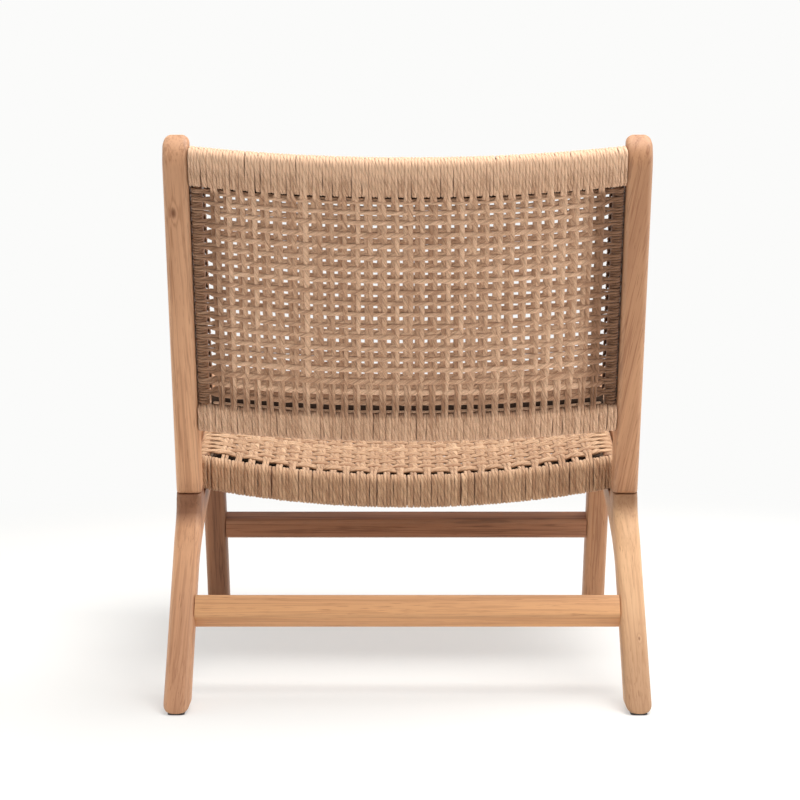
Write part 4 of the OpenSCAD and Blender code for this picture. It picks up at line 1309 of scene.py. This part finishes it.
# Cord wraps and woven fields
for panel in (backPanel, seatPanel):
    name = panel["name"]
    isBack = name == "back"
    cordLook = backCordLook if isBack else seatCordLook
    lowNode = "back_bottom_wrap" if isBack else "seat_front_wrap"
    highNode = "back_top_wrap" if isBack else "seat_rear_wrap"
    lowTurns = railTurns(lowNode + "_turns", panel, panel["low"], panel["low"] + panel["lowRail"],
                         cordLook)
    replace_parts(lowTurns, lowNode)
    highTurns = railTurns(highNode + "_turns", panel, panel["high"] - panel["highRail"], panel["high"],
                          cordLook)
    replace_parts(highTurns, highNode)
    for side, sign in (("left", 1), ("right", -1)):
        node = f"{side}_{name}_wrap"
        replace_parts(slatTurns(node + "_turns", panel, sign, cordLook), node)
    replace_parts(warpCords(panel, cordLook), name + "_weave")
    weftCords(panel, cordLook)
    # Dark strips of painted shade in the gaps by the rails
    makeShadeStrips(panel, shadeStripLook)
print("cords ready")

# Carried-over CAD pieces
for nodeName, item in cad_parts.items():
    look = None
    if nodeName.endswith("_glide"):
        look = glideLook
        softEdge = item.modifiers.new("softEdge", "BEVEL")
        softEdge.width = 0.6 * mm
        softEdge.segments = 2
        softEdge.angle_limit = math.radians(50)
    elif nodeName == "glide_nails":
        look = nailLook
    elif nodeName.endswith("_dowels"):
        look = dowelLook
    elif nodeName.endswith("_slat") or (nodeName.endswith("_rail") and "side" not in nodeName):
        look = coreLook
    if look:
        item.data.materials.clear()
        item.data.materials.append(look)


# Studio: a pale floor that runs into a white surround, and soft light from above
studio = {
    "floorHalf": 14.0,
    "whiteStart": 0.75,
    "whiteEnd": 1.7,
    "shadowLift": 0.45,
    "world": 0.42,
}


def seenBy(node, math2, *rays):
    path = node("ShaderNodeLightPath")
    seen = path.outputs[rays[0]]
    for ray in rays[1:]:
        seen = math2("MAXIMUM", seen, path.outputs[ray])
    return seen


def makeStudio(plan):
    mesh = bpy.data.meshes.new("floor")
    h = plan["floorHalf"]
    mesh.from_pydata([(-h, -h, 0), (h, -h, 0), (h, h, 0), (-h, h, 0)], [], [(0, 1, 2, 3)])
    floor = bpy.data.objects.new("floor", mesh)
    bpy.context.scene.collection.objects.link(floor)
    material = bpy.data.materials.new("floorPale")
    material.use_nodes = True
    tree = material.node_tree
    tree.nodes.clear()
    node, link, math2 = nodeTools(tree)
    diffuse = node("ShaderNodeBsdfDiffuse")
    diffuse.inputs["Color"].default_value = linear(243, 242, 239)
    white = node("ShaderNodeEmission")
    white.inputs["Color"].default_value = linear(251, 251, 250)
    coords = node("ShaderNodeTexCoord")
    length = node("ShaderNodeVectorMath", operation="LENGTH")
    link(coords.outputs["Object"], length.inputs[0])
    away = node("ShaderNodeMapRange", interpolation_type="SMOOTHSTEP")
    away.inputs["From Min"].default_value = plan["whiteStart"]
    away.inputs["From Max"].default_value = plan["whiteEnd"]
    link(length.outputs["Value"], away.inputs["Value"])
    seen = seenBy(node, math2, "Is Camera Ray", "Is Glossy Ray")
    mixed = node("ShaderNodeMixShader")
    paled = math2("MAXIMUM", away.outputs["Result"], plan["shadowLift"])
    link(math2("MULTIPLY", paled, seen), mixed.inputs["Fac"])
    link(diffuse.outputs[0], mixed.inputs[1])
    link(white.outputs[0], mixed.inputs[2])
    output = node("ShaderNodeOutputMaterial")
    link(mixed.outputs[0], output.inputs[0])
    mesh.materials.append(material)

    world = bpy.data.worlds.new("studioWorld")
    bpy.context.scene.world = world
    world.use_nodes = True
    tree = world.node_tree
    tree.nodes.clear()
    node, link, math2 = nodeTools(tree)
    lit = node("ShaderNodeBackground")
    lit.inputs["Color"].default_value = (1, 1, 1, 1)
    lit.inputs["Strength"].default_value = plan["world"]
    shown = node("ShaderNodeBackground")
    shown.inputs["Color"].default_value = linear(251, 251, 250)
    shown.inputs["Strength"].default_value = 1.0
    seen = seenBy(node, math2, "Is Camera Ray", "Is Glossy Ray", "Is Transmission Ray")
    mixed = node("ShaderNodeMixShader")
    link(seen, mixed.inputs["Fac"])
    link(lit.outputs[0], mixed.inputs[1])
    link(shown.outputs[0], mixed.inputs[2])
    output = node("ShaderNodeOutputWorld")
    link(mixed.outputs[0], output.inputs[0])


def softLamp(name, place, target, size, power, colour):
    data = bpy.data.lights.new(name, "AREA")
    data.shape = "RECTANGLE"
    data.size, data.size_y = size
    data.energy = power
    data.color = colour
    lamp = bpy.data.objects.new(name, data)
    bpy.context.scene.collection.objects.link(lamp)
    lamp.location = place
    lamp.rotation_euler = (Vector(target) - Vector(place)).to_track_quat("-Z", "Y").to_euler()


lamps = {
    "topPanel": {"place": (-0.7, 0.3, 3.0), "target": (0, 0, 0.3), "size": (2.4, 2.0), "power": 112,
                 "colour": (1.0, 0.985, 0.965)},
    "rightPanel": {"place": (-2.6, 1.6, 1.7), "target": (0, 0.1, 0.35), "size": (1.8, 1.8), "power": 10,
                   "colour": (1.0, 0.985, 0.96)},
    "leftFill": {"place": (2.8, 2.0, 1.4), "target": (0, 0.1, 0.45), "size": (1.8, 1.8), "power": 5,
                 "colour": (1.0, 0.99, 0.98)},
    "lowRight": {"place": (-2.3, -0.1, 0.7), "target": (0, 0, 0.2), "size": (1.6, 1.2), "power": 13,
                 "colour": (1.0, 0.99, 0.98)},
    "lowLeft": {"place": (2.3, -0.1, 0.7), "target": (0, 0, 0.2), "size": (1.6, 1.2), "power": 9,
                "colour": (1.0, 0.99, 0.98)},
}

makeStudio(studio)
for lampName, lampPlan in lamps.items():
    softLamp(lampName, **lampPlan)
bpy.context.scene.view_settings.view_transform = "Standard"
print("studio ready")
